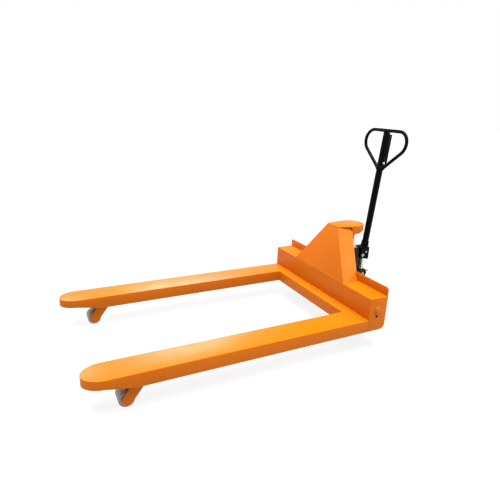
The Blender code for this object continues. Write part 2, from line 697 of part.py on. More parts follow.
def make_spring(cap_under, pump):
    """The return spring round the plunger, from the block up to the plunger's cap."""
    turns, steps, wire, middle = 6, 12, 0.0015, 0.0138
    low, high = up(BLOCK_TOP) + wire + GAP, up(cap_under) - wire - GAP
    centre = Vector((0, back(PLUNGER_BACK), 0))
    bm = bmesh.new()
    rings = []
    count = turns * steps
    for i in range(count + 1):
        a = 2 * math.pi * i / steps
        out = Vector((math.cos(a), math.sin(a), 0))
        point = centre + middle * out + Vector((0, 0, low + (high - low) * i / count))
        rings.append([
            bm.verts.new(point + wire * (out * math.cos(b) + Vector((0, 0, 1)) * math.sin(b)))
            for b in (2 * math.pi * k / 5 for k in range(5))
        ])
    for a, b in zip(rings, rings[1:]):
        for k in range(5):
            bm.faces.new((a[k], a[(k + 1) % 5], b[(k + 1) % 5], b[k]))
    bm.faces.new(rings[0])
    bm.faces.new(rings[-1][::-1])
    settle(to_object("plunger_spring", bm), "steel", pump)


def valve_axis():
    return back(VALVE_BACK), up(VALVE_UP)


def make_valve_lever(carrier):
    centre = valve_axis()
    outline = hull(circle(centre, 0.009, 20) + circle((back(0.452), up(0.078)), 0.005, 16))
    lever = prism("valve_lever", outline, "X", -0.004, 0.004)
    hole = cross_hole("valve_hole", *centre, 0.0034, -0.02, 0.02)
    settle(cut(lever, hole), "steel", carrier)


# ---------------------------------------------------------------- tiller


def make_yoke(tiller):
    """Two ears on the pivot pin, bridged above the pressure roller to take the tube."""
    pivot = (back(TILLER_PIVOT_BACK), up(TILLER_PIVOT_UP))
    bridge_top = up(0.268)
    outline = [
        *arc(pivot, 0.023, 180, 285, 10),
        (back(0.392), up(0.178)), (back(0.408), up(0.177)), (back(0.417), up(0.183)),
        (back(0.421), up(0.196)), (back(0.421), up(0.258)), (back(0.414), bridge_top),
        (back(0.346), bridge_top), (back(0.334), up(0.256)),
    ]
    yoke = edge_round(prism("tiller_yoke", outline, "X", -0.038, 0.038), 0.002)
    slot = block("yoke_slot", (-0.0235, back(0.3), up(0.1)), (0.0235, back(0.5), up(0.253)))
    roller = roller_centre()
    holes = [
        cross_hole("yoke_pin_hole", *pivot, 0.008 + GAP, -0.06, 0.06),
        cross_hole("yoke_roller_hole", *roller, 0.005 + GAP, -0.06, 0.06),
    ]
    settle(cut(yoke, slot, *holes), "black_paint", tiller)
    settle(rod("pressure_pin", (-0.040, *roller), (0.040, *roller), 0.005, 16), "steel", tiller)
    half = 0.020
    profile = [(0.0053, -half), (PRESSURE_RADIUS, -half), (PRESSURE_RADIUS, half), (0.0053, half)]
    settle(turned("pressure_roller", profile, (0, *roller), steps=20), "steel", tiller)


def roller_centre():
    half = TILLER_SWEEP / 2
    return (
        back(TILLER_PIVOT_BACK + PRESSURE_ARM * math.cos(half)),
        up(TILLER_PIVOT_UP + PRESSURE_ARM * math.sin(half)),
    )


def tube_foot():
    """How far along the tiller its tube starts, just above the yoke."""
    return (0.268 + GAP - TILLER_UP + TUBE_RADIUS * math.sin(TILLER_TILT)) / math.cos(TILLER_TILT)


def make_tube(tiller, release):
    foot, top = tube_foot(), LOOP_TOP - LOOP_TUBE - GAP
    profile = [(TUBE_BORE, foot), (TUBE_RADIUS, foot), (TUBE_RADIUS, top), (TUBE_BORE, top)]
    tube = onto_tiller(turned("tiller_tube", profile, (0, 0, 0), "Z"))
    pivot = tiller_point(0, 0, CONTROL_PIVOT)
    bolt_hole = cross_hole("control_bolt_hole", pivot.y, pivot.z, BOLT_RADIUS + GAP, -0.05, 0.05)
    settle(cut(tube, bolt_hole), "black_paint", tiller)
    profile = [(0, -0.026), (BOLT_RADIUS, -0.026), (BOLT_RADIUS, 0.026), (0, 0.026)]
    settle(turned("control_pin", profile, pivot, steps=16), "steel", tiller)
    low, high = tiller_point(0, 0, foot + 0.020), tiller_point(0, 0, CONTROL_PIVOT - 0.020)
    settle(rod("release_rod", low, high, 0.004, 16), "steel", release)


def make_loop(tiller):
    """The rounded heart-shaped hand loop, bent from one tube and welded to a collar on the tiller."""
    flank = (LOOP_HALF - LOOP_FLANK, LOOP_WIDEST)
    shoulder = (LOOP_HALF - LOOP_SHOULDER, LOOP_TOP - LOOP_SHOULDER)
    bend = math.degrees(LEG_ANGLE)
    half = arc(flank, LOOP_FLANK, -bend, 0, 6) + arc(shoulder, LOOP_SHOULDER, 0, 90, 9)[1:]
    start = half[0]
    leg_end_x = TUBE_RADIUS + 0.0025
    run = (start[0] - leg_end_x) / math.sin(LEG_ANGLE)
    leg_end = (leg_end_x, start[1] - run * math.cos(LEG_ANGLE))
    right = [leg_end] + half
    path = [(x, 0, v) for x, v in right] + [(-x, 0, v) for x, v in reversed(right)]
    loop = onto_tiller(swept("handle_loop", path, LOOP_TUBE, (0, 1, 0)))
    collar_low = leg_end[1] - 0.012
    collar = onto_tiller(turned(
        "loop_collar",
        [
            (TUBE_RADIUS + GAP, collar_low), (0.025, collar_low), (0.026, collar_low + 0.001),
            (0.026, collar_low + 0.024), (0.025, collar_low + 0.025), (TUBE_RADIUS + GAP, collar_low + 0.025),
        ],
        (0, 0, 0), "Z",
    ))
    ends = (0, 0, collar_low - 0.1), (0, 0, collar_low + 0.1)
    bore = onto_tiller(rod("collar_bore", *ends, TUBE_RADIUS + GAP, 28))
    settle(cut(join(loop, collar), bore), "black_paint", tiller)


def make_control_lever(carrier):
    """A channel round the back of the tube, pivoted at the foot of the loop."""
    side, inner, web = CONTROL_HALF, 0.0205, 0.0235
    low, top = CONTROL_PIVOT - 0.014, CONTROL_TOP
    lever = block("control_lever", (-side, -0.006, low), (side, CONTROL_BACK, top))
    channel = block("control_channel", (-inner, -0.05, low - 0.01), (inner, web, top + 0.01))
    lift = block("control_taper", (-0.05, -0.05, CONTROL_PIVOT + 0.04), (0.05, 0.006, top + 0.01))
    # The web starts above the pin, so that the ears' lower ends swing clear of the tube.
    heel = block("control_heel", (-inner, -0.05, low - 0.01), (inner, 0.05, CONTROL_PIVOT + 0.002))
    edge_round(lever, 0.002)
    for piece in (lever, channel, lift, heel):
        onto_tiller(piece)
    hole = cross_hole("control_hole", *tiller_point(0, 0, CONTROL_PIVOT).yz, BOLT_RADIUS + GAP, -0.05, 0.05)
    settle(cut(lever, channel, lift, heel, hole), "black_paint", carrier)


# ---------------------------------------------------------------- the whole jack


def clear_scene():
    for obj in list(bpy.data.objects):
        bpy.data.objects.remove(obj)


def main():
    clear_scene()
    ram_y = back(RAM_BACK)
    frame = joint_axis("frame", (0, 0, 0))
    lift = joint_axis("lift_slide", (0, ram_y, up(BRACKET_UP)))
    steer = joint_axis("steer_axis", (0, ram_y, WHEEL_RADIUS))
    tiller = joint_axis("tiller_axis", (0, back(TILLER_PIVOT_BACK), up(TILLER_PIVOT_UP)))
    control = joint_axis("control_axis", tiller_point(0, 0, CONTROL_PIVOT))
    release = joint_axis("release_slide", tiller_point(0, 0, tube_foot()))
    rocker = joint_axis("rocker_axis", (0, back(SHAFT_BACK), up(SHAFT_UP)))
    plunger = joint_axis("plunger_slide", (0, back(PLUNGER_BACK), up(BLOCK_TOP)))
    valve = joint_axis("valve_axis", (0, *valve_axis()))

    make_cross_beam(frame)
    make_heel(frame)
    make_tower(frame)
    make_cap(frame)
    make_rocker(rocker)
    for side, sign in SIDES.items():
        make_fork(side, sign, frame)
        make_end_plate(side, sign, frame)
        slide = joint_axis(f"rod_slide_{side}", (sign * FORK_X, *ROCKER_PIN))
        make_push_rod(side, sign, slide)
        lever = joint_axis(f"lever_axis_{side}", (sign * FORK_X, back(PIVOT_BACK), up(PIVOT_UP)))
        roller = joint_axis(f"roller_axis_{side}", (sign * FORK_X, back(AXLE_BACK), up(AXLE_UP)))
        make_load_lever(side, sign, frame, lever, roller)
        wheel = joint_axis(f"wheel_axis_{side}", (0, ram_y, WHEEL_RADIUS))
        make_steer_wheel(side, sign, wheel)
    make_bracket(lift)
    make_axle_block(steer)
    make_pump(steer)
    make_spring(make_plunger(plunger), steer)
    make_valve_lever(valve)
    make_yoke(tiller)
    make_tube(tiller, release)
    make_loop(tiller)
    make_control_lever(control)


main()
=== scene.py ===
"""Looks of a wide hand pallet jack, built round its packed frame.

Laid out as a Blender add-on and run as a script. Metres, +Z up, floor at z = 0. The forks point along -Y
and the tiller stands at +Y. "left" is the +X side, seen by someone who holds the tiller.
"""

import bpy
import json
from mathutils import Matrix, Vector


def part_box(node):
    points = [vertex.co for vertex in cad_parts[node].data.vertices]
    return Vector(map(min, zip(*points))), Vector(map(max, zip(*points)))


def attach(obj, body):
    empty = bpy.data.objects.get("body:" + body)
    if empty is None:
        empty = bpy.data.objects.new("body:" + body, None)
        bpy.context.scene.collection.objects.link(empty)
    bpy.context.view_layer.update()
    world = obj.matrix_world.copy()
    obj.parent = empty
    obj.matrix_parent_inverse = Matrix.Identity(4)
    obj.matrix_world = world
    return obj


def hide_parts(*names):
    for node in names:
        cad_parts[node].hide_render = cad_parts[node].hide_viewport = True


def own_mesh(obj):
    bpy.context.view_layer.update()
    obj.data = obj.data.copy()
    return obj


bl_info = {
    "name": "Wide Hand Pallet Jack",
    "version": (1, 0, 0),
    "blender": (4, 5, 0),
    "location": "3D Viewport > Sidebar > Pallet Jack",
    "description": "Fine meshes and paint for each piece of a wide hand pallet jack, and its studio stage",
    "category": "Add Mesh",
}

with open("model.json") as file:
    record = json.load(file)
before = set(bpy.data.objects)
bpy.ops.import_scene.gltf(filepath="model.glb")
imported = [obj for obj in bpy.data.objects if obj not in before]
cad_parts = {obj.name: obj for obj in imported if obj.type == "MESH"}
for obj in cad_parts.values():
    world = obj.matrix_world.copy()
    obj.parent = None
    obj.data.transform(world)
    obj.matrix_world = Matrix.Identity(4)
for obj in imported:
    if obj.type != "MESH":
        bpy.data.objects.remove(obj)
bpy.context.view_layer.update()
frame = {"nodes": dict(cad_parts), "record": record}

import json
from math import cos, dist, pi, radians, sin

import bmesh
import bpy
from bpy.props import FloatProperty, FloatVectorProperty, IntProperty, PointerProperty
from mathutils import Matrix, Vector

SIDES = {"left": 1, "right": -1}
CLEAR = 0.0003
CUTTER_EDGE = 0.0001

# Radii of the bores for the 20 mm and 16 mm pins and for the control lever's bolt
BORE_20, BORE_16, BOLT_BORE = 0.0103, 0.0083, 0.0043


# ---- places read from the frame


def low(node):
    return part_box(node)[0]


def high(node):
    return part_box(node)[1]


def middle(node):
    return (low(node) + high(node)) / 2


def span(node):
    """Where a node starts and stops along X."""
    return low(node).x, high(node).x


DECK = high("fork_left").z
SKIRT_LOW = low("fork_left").z
HALF_WIDTH = high("fork_left").x
FORK_INNER = low("fork_left").x
FORK_X = middle("fork_left").x
TIP_Y = low("fork_left").y
HEEL_Y = low("heel_front").y
BEAM_Y = low("cross_beam").y
HEEL_TOP = high("heel_top").z
HEEL_REAR = high("heel_rear_flange").y
FLANGE_REAR_FRONT = low("heel_rear_flange").y
FLANGE_TOP = high("heel_rear_flange").z
TOWER_TOP = high("tower_front").z
CAP_TOP = high("tower_cap").z
RAM_Y = middle("ram").y
SHAFT = middle("shaft_collar_left")
LEVER_PIVOT = middle("lever_pin_left")
LOAD_AXLE = middle("load_axle_left")
ROD_PIN = middle("rod_pin_left")
WHEEL_Z = middle("steer_axle").z
TILLER_PIVOT = middle("tiller_pivot_pin")
PRESSURE_PIN = middle("pressure_pin")
CONTROL_PIN = middle("control_pin")
PLUNGER_Y = middle("pump_plunger").y
BRACKET_Z = middle("base_bracket").z

# Sizes of the plates and bars, which the boxes don't give
PLATE, END_PLATE = 0.006, 0.008
TIP_ROUND = 0.105
TIP_RISE = 0.027
TAPER_LONG, TAPER_SHORT = 0.241, 0.091
TOWER_FOOT_HALF, TOWER_TOP_HALF = 0.277, 0.058
TOWER_LEAN = 0.088
TILLER_TILT = radians(5.3)
TILLER_FOOT = Vector((0, HEEL_Y + 0.396, DECK + 0.309))
LOOP_TUBE, LOOP_TOP, LOOP_HALF = 0.0112, 0.761, 0.19


def back(distance):
    """World Y of a point this far behind the heel's front face."""
    return HEEL_Y + distance


def up(distance):
    """World Z of a point this far above the top of the forks."""
    return DECK + distance


# ---- sizes and colours to change


def colour(name, description, default):
    return FloatVectorProperty(
        name=name, description=description, subtype="COLOR", default=default, min=0, max=1
    )


class JackPaint(bpy.types.PropertyGroup):
    """Colours of the jack's finishes"""

    orange: colour("Plate paint", "Powder coat on the forks, heel and tower", (0.485, 0.1125, 0.0017))
    black: colour("Tiller paint", "Gloss paint on the tiller and its loop", (0.0015, 0.0015, 0.0017))
    casting: colour("Casting paint", "Satin paint on the pump body and hubs", (0.005, 0.005, 0.0055))
    tread: colour("Load roller tread", "Polyurethane of the load rollers", (0.3, 0.3, 0.285))
    rubber: colour("Steer tyre", "Rubber of the steering wheels", (0.02, 0.02, 0.021))


class JackSizes(bpy.types.PropertyGroup):
    """Edge rounds, beads and smoothness"""

    plate_edge: FloatProperty(
        name="Plate edge", description="Radius on the outer edges of the forks and heel",
        subtype="DISTANCE", default=0.0034, min=0.0005, max=0.006,
    )
    weld: FloatProperty(
        name="Weld bead", description="Radius of the painted weld beads",
        subtype="DISTANCE", default=0.0032, min=0.001, max=0.006,
    )
    round_steps: IntProperty(
        name="Round steps", description="Sides of a turned piece", default=64, min=24, max=128
    )


class JackStage(bpy.types.PropertyGroup):
    """Light of the studio"""

    daylight: FloatProperty(
        name="Overhead light", description="Strength of the soft light from above",
        default=8.2, min=0, max=20,
    )
    surround: FloatProperty(
        name="Surround", description="Strength of the room's ceiling", default=0.15, min=0, max=4
    )


def paint():
    return bpy.context.scene.jack_paint


def sizes():
    return bpy.context.scene.jack_sizes


# ---- meshes


def placed(name, data):
    obj = bpy.data.objects.new(name, data)
    bpy.context.scene.collection.objects.link(obj)
    return obj


def from_bmesh(name, bm):
    bmesh.ops.recalc_face_normals(bm, faces=bm.faces)
    mesh = bpy.data.meshes.new(name)
    bm.to_mesh(mesh)
    bm.free()
    return placed(name, mesh)


def arc(centre, radius, start, stop, steps=12):
    """Points on an arc, with its ends, the angles in degrees."""
    angles = [radians(start + (stop - start) * i / steps) for i in range(steps + 1)]
    return [(centre[0] + radius * cos(a), centre[1] + radius * sin(a)) for a in angles]


def between(a, b, steps):
    """Points from a towards b, without b."""
    return [(a[0] + (b[0] - a[0]) * i / steps, a[1] + (b[1] - a[1]) * i / steps) for i in range(steps)]


def circle(centre, radius, steps=48):
    return arc(centre, radius, 0, 360 - 360 / steps, steps - 1)


def hull(points):
    """The convex outline round the points, anticlockwise."""
    points = sorted(set(points))

    def half(ordered):
        chain = []
        for p in ordered:
            while len(chain) > 1 and (
                (chain[-1][0] - chain[-2][0]) * (p[1] - chain[-2][1])
                <= (chain[-1][1] - chain[-2][1]) * (p[0] - chain[-2][0])
            ):
                chain.pop()
            chain.append(p)
        return chain[:-1]

    return half(points) + half(points[::-1])


def extruded(name, corners, move):
    """A flat face through the corners, extruded by a vector."""
    bm = bmesh.new()
    face = bm.faces.new([bm.verts.new(c) for c in corners])
    pushed = bmesh.ops.extrude_face_region(bm, geom=[face])["geom"]
    bmesh.ops.translate(bm, vec=move, verts=[g for g in pushed if isinstance(g, bmesh.types.BMVert)])
    return from_bmesh(name, bm)


def prism(name, outline, axis, near, far):
    """An outline extruded along an axis: (y, z) points along X, (x, z) along Y, (x, y) along Z."""
    place = {
        "X": lambda p, h: (h, *p),
        "Y": lambda p, h: (p[0], h, p[1]),
        "Z": lambda p, h: (*p, h),
    }[axis]
    return extruded(name, [place(p, near) for p in outline], place((0, 0), far - near))


def block(name, near, far):
    outline = [(near[0], near[1]), (far[0], near[1]), (far[0], far[1]), (near[0], far[1])]
    return prism(name, outline, "Z", near[2], far[2])


def turned(name, profile, centre, axis="X", steps=None):
    """A closed profile of (radius, height) points spun about an axis through centre."""
    bm = bmesh.new()
    line = [bm.verts.new((r, 0, h)) for r, h in profile]
    edges = [bm.edges.new((a, b)) for a, b in zip(line, line[1:] + line[:1])]
    bmesh.ops.spin(
        bm, geom=line + edges, cent=(0, 0, 0), axis=(0, 0, 1), angle=2 * pi,
        steps=steps or sizes().round_steps, use_merge=True,
    )
    bmesh.ops.remove_doubles(bm, verts=bm.verts, dist=1e-6)
    turn = {
        "X": Matrix.Rotation(pi / 2, 4, "Y"),
        "Y": Matrix.Rotation(-pi / 2, 4, "X"),
        "Z": Matrix.Identity(4),
    }[axis]
    bm.transform(Matrix.Translation(centre) @ turn)
    return from_bmesh(name, bm)


def upright(name, profile, y=None, steps=None):
    """A profile spun about a vertical line in the middle plane, through the ram unless y is given."""
    return turned(name, profile, (0, RAM_Y if y is None else y, 0), "Z", steps)


def mirrored(half):
    """Half a profile, closed by its reflection at the other end."""
    return half + [(r, -h) for r, h in reversed(half)]


def bar_profile(radius, start, stop, chamfer=0.001):
    """Half section of a round bar with chamfered ends."""
    return [
        (0, start), (radius - chamfer, start), (radius, start + chamfer),
        (radius, stop - chamfer), (radius - chamfer, stop), (0, stop),
    ]


def tube_profile(bore, radius, start, stop, chamfer):
    """Half section of a tube whose outer edges are chamfered."""
    return [(bore, start), *bar_profile(radius, start, stop, chamfer)[1:-1], (bore, stop)]


def cross_bar(name, place, radius, start, stop, chamfer=0.001, steps=None):
    """A round bar along X; place ends in its y and z."""
    return turned(name, bar_profile(radius, start, stop, chamfer), (0, *place[-2:]), "X", steps)


def drill(place, radius, start, stop, steps=None):
    """The cutter of a hole along X."""
    return cross_bar("drill", place, radius, start, stop, CUTTER_EDGE, steps)


def swept(name, path, radius, across, sides=20, ripple=None):
    """A round tube along a path in a plane whose normal is near across; ripple(i) scales the radius."""
    across = Vector(across).normalized()
    points = [Vector(p) for p in path]
    bm = bmesh.new()
    rings = []
    for i, point in enumerate(points):
        along = (points[min(i + 1, len(points) - 1)] - points[max(i - 1, 0)]).normalized()
        side = along.cross(across).normalized()
        normal = side.cross(along)
        reach = radius * (ripple(i) if ripple else 1)
        rings.append([
            bm.verts.new(point + reach * (side * cos(a) + normal * sin(a)))
            for a in (2 * pi * k / sides for k in range(sides))
        ])
    for a, b in zip(rings, rings[1:]):
        for k in range(sides):
            bm.faces.new((a[k], a[(k + 1) % sides], b[(k + 1) % sides], b[k]))
    bm.faces.new(rings[0])
    bm.faces.new(rings[-1][::-1])
    return from_bmesh(name, bm)


def machined(obj, welded=(), carved=(), edge=0.0, segments=3, limit=38):
    """Welds pieces on, carves others out, rounds the edges, and makes the result the object's own mesh."""
    for others, operation in ((welded, "UNION"), (carved, "DIFFERENCE")):
        for other in others:
            modifier = obj.modifiers.new(other.name, "BOOLEAN")
            modifier.object = other
            modifier.operation = operation
    if edge:
        modifier = obj.modifiers.new("edges", "BEVEL")
        modifier.width = edge
        modifier.segments = segments
        modifier.limit_method = "ANGLE"
        modifier.angle_limit = radians(limit)
    graph = bpy.context.evaluated_depsgraph_get()
    mesh = bpy.data.meshes.new_from_object(obj.evaluated_get(graph))
    obj.modifiers.clear()
    obj.data = mesh
    for other in (*welded, *carved):
        bpy.data.objects.remove(other)
    return obj


def kept_part(obj, name, *cuts):
    """A copy of a mesh, cut through at each x and closed there; above says which side is kept."""
    copy = placed(name, obj.data.copy())
    for x, above in cuts:
        bm = bmesh.new()
        bm.from_mesh(copy.data)
        found = bmesh.ops.bisect_plane(
            bm, geom=bm.verts[:] + bm.edges[:] + bm.faces[:], plane_co=(x, 0, 0), plane_no=(1, 0, 0),
            clear_inner=above, clear_outer=not above,
        )["geom_cut"]
        bmesh.ops.edgeloop_fill(bm, edges=[g for g in found if isinstance(g, bmesh.types.BMEdge)])
        bm.to_mesh(copy.data)
        bm.free()
    return copy


def joined(name, pieces):
    """Several closed meshes as one object, side by side."""
    bm = bmesh.new()
    for piece in pieces:
        bm.from_mesh(piece.data)
        bpy.data.objects.remove(piece)
    return from_bmesh(name, bm)


def hexagon_bolt(name, centre, radius, height, axis, turn=0):
    """A bolt head with its chamfer and washer, standing out along axis from centre."""
    seat = height * 0.26
    washer = [(0, 0), (radius * 1.45, 0), (radius * 1.45, height * 0.2), (radius * 1.38, seat), (0, seat)]
    ring = upright(f"{name}_washer", washer, 0, 32)
    outline = arc((0, 0), radius, turn, turn + 300, 5)
    head = prism(f"{name}_head", outline, "Z", seat, height * 1.2)
    machined(head, edge=radius * 0.1, segments=2)
    both = joined(name, [ring, head])
    turned_out = Vector(axis).to_track_quat("Z", "Y").to_matrix().to_4x4()
    both.data.transform(Matrix.Translation(Vector(centre)) @ turned_out)
    return both


def weld_bead(name, start, stop, across, radius=None):
    """A painted weld bead between two points, with the ripple of its runs."""
    start, stop = Vector(start), Vector(stop)
    step = 0.0022
    count = max(8, int((stop - start).length / step))
    path = [start.lerp(stop, i / count) for i in range(count + 1)]

    def ripple(i):
        taper = min(1.0, (i + 1) / 3, (count - i + 1) / 3)
        return taper * (1 + 0.07 * sin(i * 1.9) + 0.05 * sin(i * 0.37 + 1))

    return swept(name, path, radius or sizes().weld, across, 8, ripple)


def carry(obj, body, slot, *nodes, sharp=32):
    """Finishes a piece: its paint, smooth shading, the body it rides on and the nodes it stands for."""
    obj.data.materials.clear()
    obj.data.materials.append(FINISHES[slot]())
    obj.data.shade_smooth()
    obj.data.set_sharp_from_angle(angle=radians(sharp))
    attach(obj, body)
    if nodes:
        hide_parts(*nodes)
    return obj


def tiller_matrix():
    return Matrix.Translation(TILLER_FOOT) @ Matrix.Rotation(-TILLER_TILT, 4, "X")


def onto_tiller(obj):
    """Moves a mesh made in tiller coordinates (x, behind, along) into place."""
    obj.data.transform(tiller_matrix())
    return obj


def along_tiller(point):
    """Tiller coordinates of a point in the world."""
    return tiller_matrix().inverted() @ Vector(point)


# ---- finishes


def fill(socket, value):
    """Gives a socket its value, or links it to a node's output."""
    if isinstance(value, bpy.types.NodeSocket):
        socket.id_data.links.new(value, socket)
    else:
        socket.default_value = value


def node_in(nodes, kind, **inputs):
    """A new shader node; in the names of its inputs an underscore stands for a space."""
    node = nodes.new(f"ShaderNode{kind}")
    for name, value in inputs.items():
        fill(node.inputs[name.replace("_", " ")], value)
    return node


class Graph:
    """A material under construction, with its Principled shader and coordinates in metres."""

    def __init__(self, name, colour, roughness, metallic=0.0, **constants):
        self.material = bpy.data.materials.new(name)
        self.material.use_nodes = True
        self.nodes = self.material.node_tree.nodes
        self.put(Base_Color=(*colour, 1), Roughness=roughness, Metallic=metallic, **constants)
        self.place = self.node("TexCoord").outputs["Object"]

    def put(self, **inputs):
        for name, value in inputs.items():
            fill(self.nodes["Principled BSDF"].inputs[name.replace("_", " ")], value)

    def node(self, kind, **inputs):
        return node_in(self.nodes, kind, **inputs)

    def noise(self, scale, detail=2.0, roughness=0.5, stretch=None):
        place = self.place
        if stretch:
            place = self.node("Mapping", Scale=stretch, Vector=place).outputs["Vector"]
        node = self.node("TexNoise", Scale=scale, Detail=detail, Roughness=roughness, Vector=place)
        return node.outputs["Fac"]

    def cells(self, scale):
        return self.node("TexVoronoi", Scale=scale, Vector=self.place).outputs["Color"]

    def ranged(self, value, start, stop, bottom=0.0, top=1.0):
        ends = {"From_Min": start, "From_Max": stop, "To_Min": bottom, "To_Max": top}
        return self.node("MapRange", Value=value, **ends).outputs["Result"]

    def times(self, a, b, operation="MULTIPLY"):
        node = self.node("Math")
        node.operation = operation
        fill(node.inputs[0], a)
        fill(node.inputs[1], b)
        return node.outputs["Value"]

    def mixed(self, share, first, second):
        node = self.node("Mix", Factor=share)
        node.data_type = "RGBA"
        ends = [socket for socket in node.inputs if socket.type == "RGBA"]
        for socket, value in zip(ends, (first, second)):
            fill(socket, (*value, 1) if isinstance(value, tuple) else value)
        return [socket for socket in node.outputs if socket.type == "RGBA"][0]

    def along(self, axis, start, stop):
        """0 where the place along an axis is start, 1 where it is stop."""
        return self.ranged(self.node("SeparateXYZ", Vector=self.place).outputs[axis], start, stop)

    def colour(self, output):
        self.put(Base_Color=output)

    def roughness(self, output):
        self.put(Roughness=output)

    def bump(self, height, distance, strength=1.0, **under):
        bump = self.node("Bump", Strength=strength, Distance=distance, Height=height, **under)
        self.put(Normal=bump.outputs["Normal"])
        return bump.outputs["Normal"]


def shade(colour, by):
    return tuple(min(1.0, c * by) for c in colour)


def lacquer(gloss, roughness):
    """The weak mirror of a paint and the thin coat over it."""
    return {"Specular_IOR_Level": gloss, "Coat_Weight": 0.03, "Coat_Roughness": roughness}


def orange_powder_coat():
    """Powder coat: orange peel, slow changes of tone, rolled plate below, scuffs under the fork tips."""
    base = tuple(paint().orange)
    graph = Graph("orange_powder_coat", base, 0.36, **lacquer(0.09, 0.2))
    tone = graph.mixed(graph.ranged(graph.noise(2.6, 3), 0.35, 0.65), shade(base, 0.95), shade(base, 1.05))
    mottled = graph.mixed(graph.ranged(graph.noise(38, 4), 0.42, 0.72, 0, 0.22), tone, shade(base, 0.84))
    scuffs = graph.times(
        graph.ranged(graph.noise(70, 6, 0.6, (1, 0.18, 1)), 0.6, 0.66), graph.along("Y", -0.86, -1.02)
    )
    low_down = graph.times(scuffs, graph.along("Z", 0.172, 0.15))
    graph.colour(graph.mixed(graph.times(low_down, 0.6), mottled, (0.2, 0.065, 0.02)))
    satin = graph.ranged(graph.noise(9, 4), 0.3, 0.7, 0.31, 0.42)
    graph.roughness(graph.times(satin, graph.times(low_down, 0.2), "ADD"))
    rolled = graph.bump(graph.noise(14, 2, 0.5, (1, 0.35, 1)), 0.0006, 0.25)
    graph.bump(graph.noise(620, 2), 0.00012, 0.3, Normal=rolled)
    return graph.material


def black_gloss_paint():
    """Gloss black on the tiller: fine orange peel and a trace of dust."""
    base = tuple(paint().black)
    graph = Graph("black_gloss_paint", base, 0.24, **lacquer(0.03, 0.12))
    dust = graph.ranged(graph.noise(160, 6, 0.65), 0.58, 0.76, 0, 0.5)
    graph.colour(graph.mixed(dust, base, shade(base, 3.0)))
    rubbed = graph.ranged(graph.noise(26, 5), 0.35, 0.68, 0.22, 0.38)
    graph.roughness(rubbed)
    graph.bump(graph.noise(540, 2), 0.0001, 0.35)
    return graph.material


def sand_casting():
    """Painted cast iron: coarse skin with a few rubbed patches."""
    base = tuple(paint().casting)
    graph = Graph("sand_casting", base, 0.5, **lacquer(0.1, 0.3))
    grain = graph.noise(310, 4, 0.6)
    worn = graph.ranged(graph.noise(45, 5, 0.6), 0.66, 0.74)
    skin = graph.mixed(graph.ranged(grain, 0.3, 0.75), shade(base, 0.75), shade(base, 1.7))
    graph.colour(graph.mixed(graph.times(worn, 0.5), skin, (0.16, 0.155, 0.15)))
    graph.roughness(graph.ranged(graph.noise(60, 4), 0.3, 0.7, 0.4, 0.6))
    swirl = graph.bump(graph.noise(70, 3), 0.0012, 0.35)
    graph.bump(grain, 0.0005, 0.45, Normal=swirl)
    return graph.material


def hard_chrome():
    """Ground and chromed bar: fine rings round it, and a film of oil."""
    graph = Graph("hard_chrome", (0.78, 0.79, 0.81), 0.11, 1.0)
    rings = graph.noise(420, 3, 0.5, (0.05, 0.05, 3.0))
    graph.roughness(graph.ranged(rings, 0.3, 0.7, 0.07, 0.18))
    film = graph.ranged(graph.noise(34, 4), 0.45, 0.7, 0, 0.35)
    graph.colour(graph.mixed(film, (0.8, 0.81, 0.83), (0.6, 0.58, 0.53)))
    graph.bump(rings, 0.00004, 0.3)
    return graph.material


def zinc_plate():
    """Zinc plated steel: crystal grain, a faint warm cast and drawn lines."""
    graph = Graph("zinc_plate", (0.42, 0.42, 0.41), 0.36, 1.0)
    spangle = graph.ranged(graph.cells(420), 0.1, 0.9)
    graph.colour(graph.mixed(spangle, (0.34, 0.34, 0.335), (0.5, 0.49, 0.455)))
    drawn = graph.noise(260, 3, 0.5, (0.12, 1, 1))
    graph.roughness(graph.ranged(drawn, 0.3, 0.7, 0.25, 0.46))
    graph.bump(drawn, 0.00008, 0.35)
    return graph.material


def cast_polyurethane():
    """Load roller tread: waxy grey, rolled dirt and small nicks."""
    base = tuple(paint().tread)
    graph = Graph("cast_polyurethane", base, 0.42, Subsurface_Weight=0.08, Coat_Weight=0.1)
    dirt = graph.ranged(graph.noise(90, 6, 0.6, (0.25, 1, 1)), 0.48, 0.72, 0, 0.5)
    graph.colour(graph.mixed(dirt, base, shade(base, 0.5)))
    graph.roughness(graph.ranged(graph.noise(60, 4), 0.3, 0.7, 0.36, 0.58))
    graph.bump(graph.noise(380, 4, 0.6), 0.0002, 0.35)
    return graph.material


def tyre_rubber():
    """Solid black tyre: matt, finely pitted and dusty where it rolls."""
    base = tuple(paint().rubber)
    graph = Graph("tyre_rubber", base, 0.78, Sheen_Weight=0.08)
    dust = graph.ranged(graph.noise(120, 6, 0.65), 0.46, 0.74, 0, 0.8)
    graph.colour(graph.mixed(dust, base, (0.062, 0.058, 0.053)))
    graph.roughness(graph.ranged(graph.noise(70, 3), 0.3, 0.7, 0.66, 0.88))
    graph.bump(graph.noise(520, 4, 0.65), 0.0003, 0.45)
    return graph.material


def kept(name, make):
    """A finish is made once and shared by its pieces."""
    return lambda: bpy.data.materials.get(name) or make()


FINISHES = {
    "orange_paint": kept("orange_powder_coat", orange_powder_coat),
    "black_paint": kept("black_gloss_paint", black_gloss_paint),
    "cast_black": kept("sand_casting", sand_casting),
    "chrome": kept("hard_chrome", hard_chrome),
    "steel": kept("zinc_plate", zinc_plate),
    "grey_polyurethane": kept("cast_polyurethane", cast_polyurethane),
    "black_rubber": kept("tyre_rubber", tyre_rubber),
}


# ---- stage


CAMERA_EYE = (2.3395, -1.212, 1.3929)
CAMERA_TURN = 62.04, 18.006, 2.549
CAMERA_LENS = 32.352
FLOOR_RADIUS = 40.0


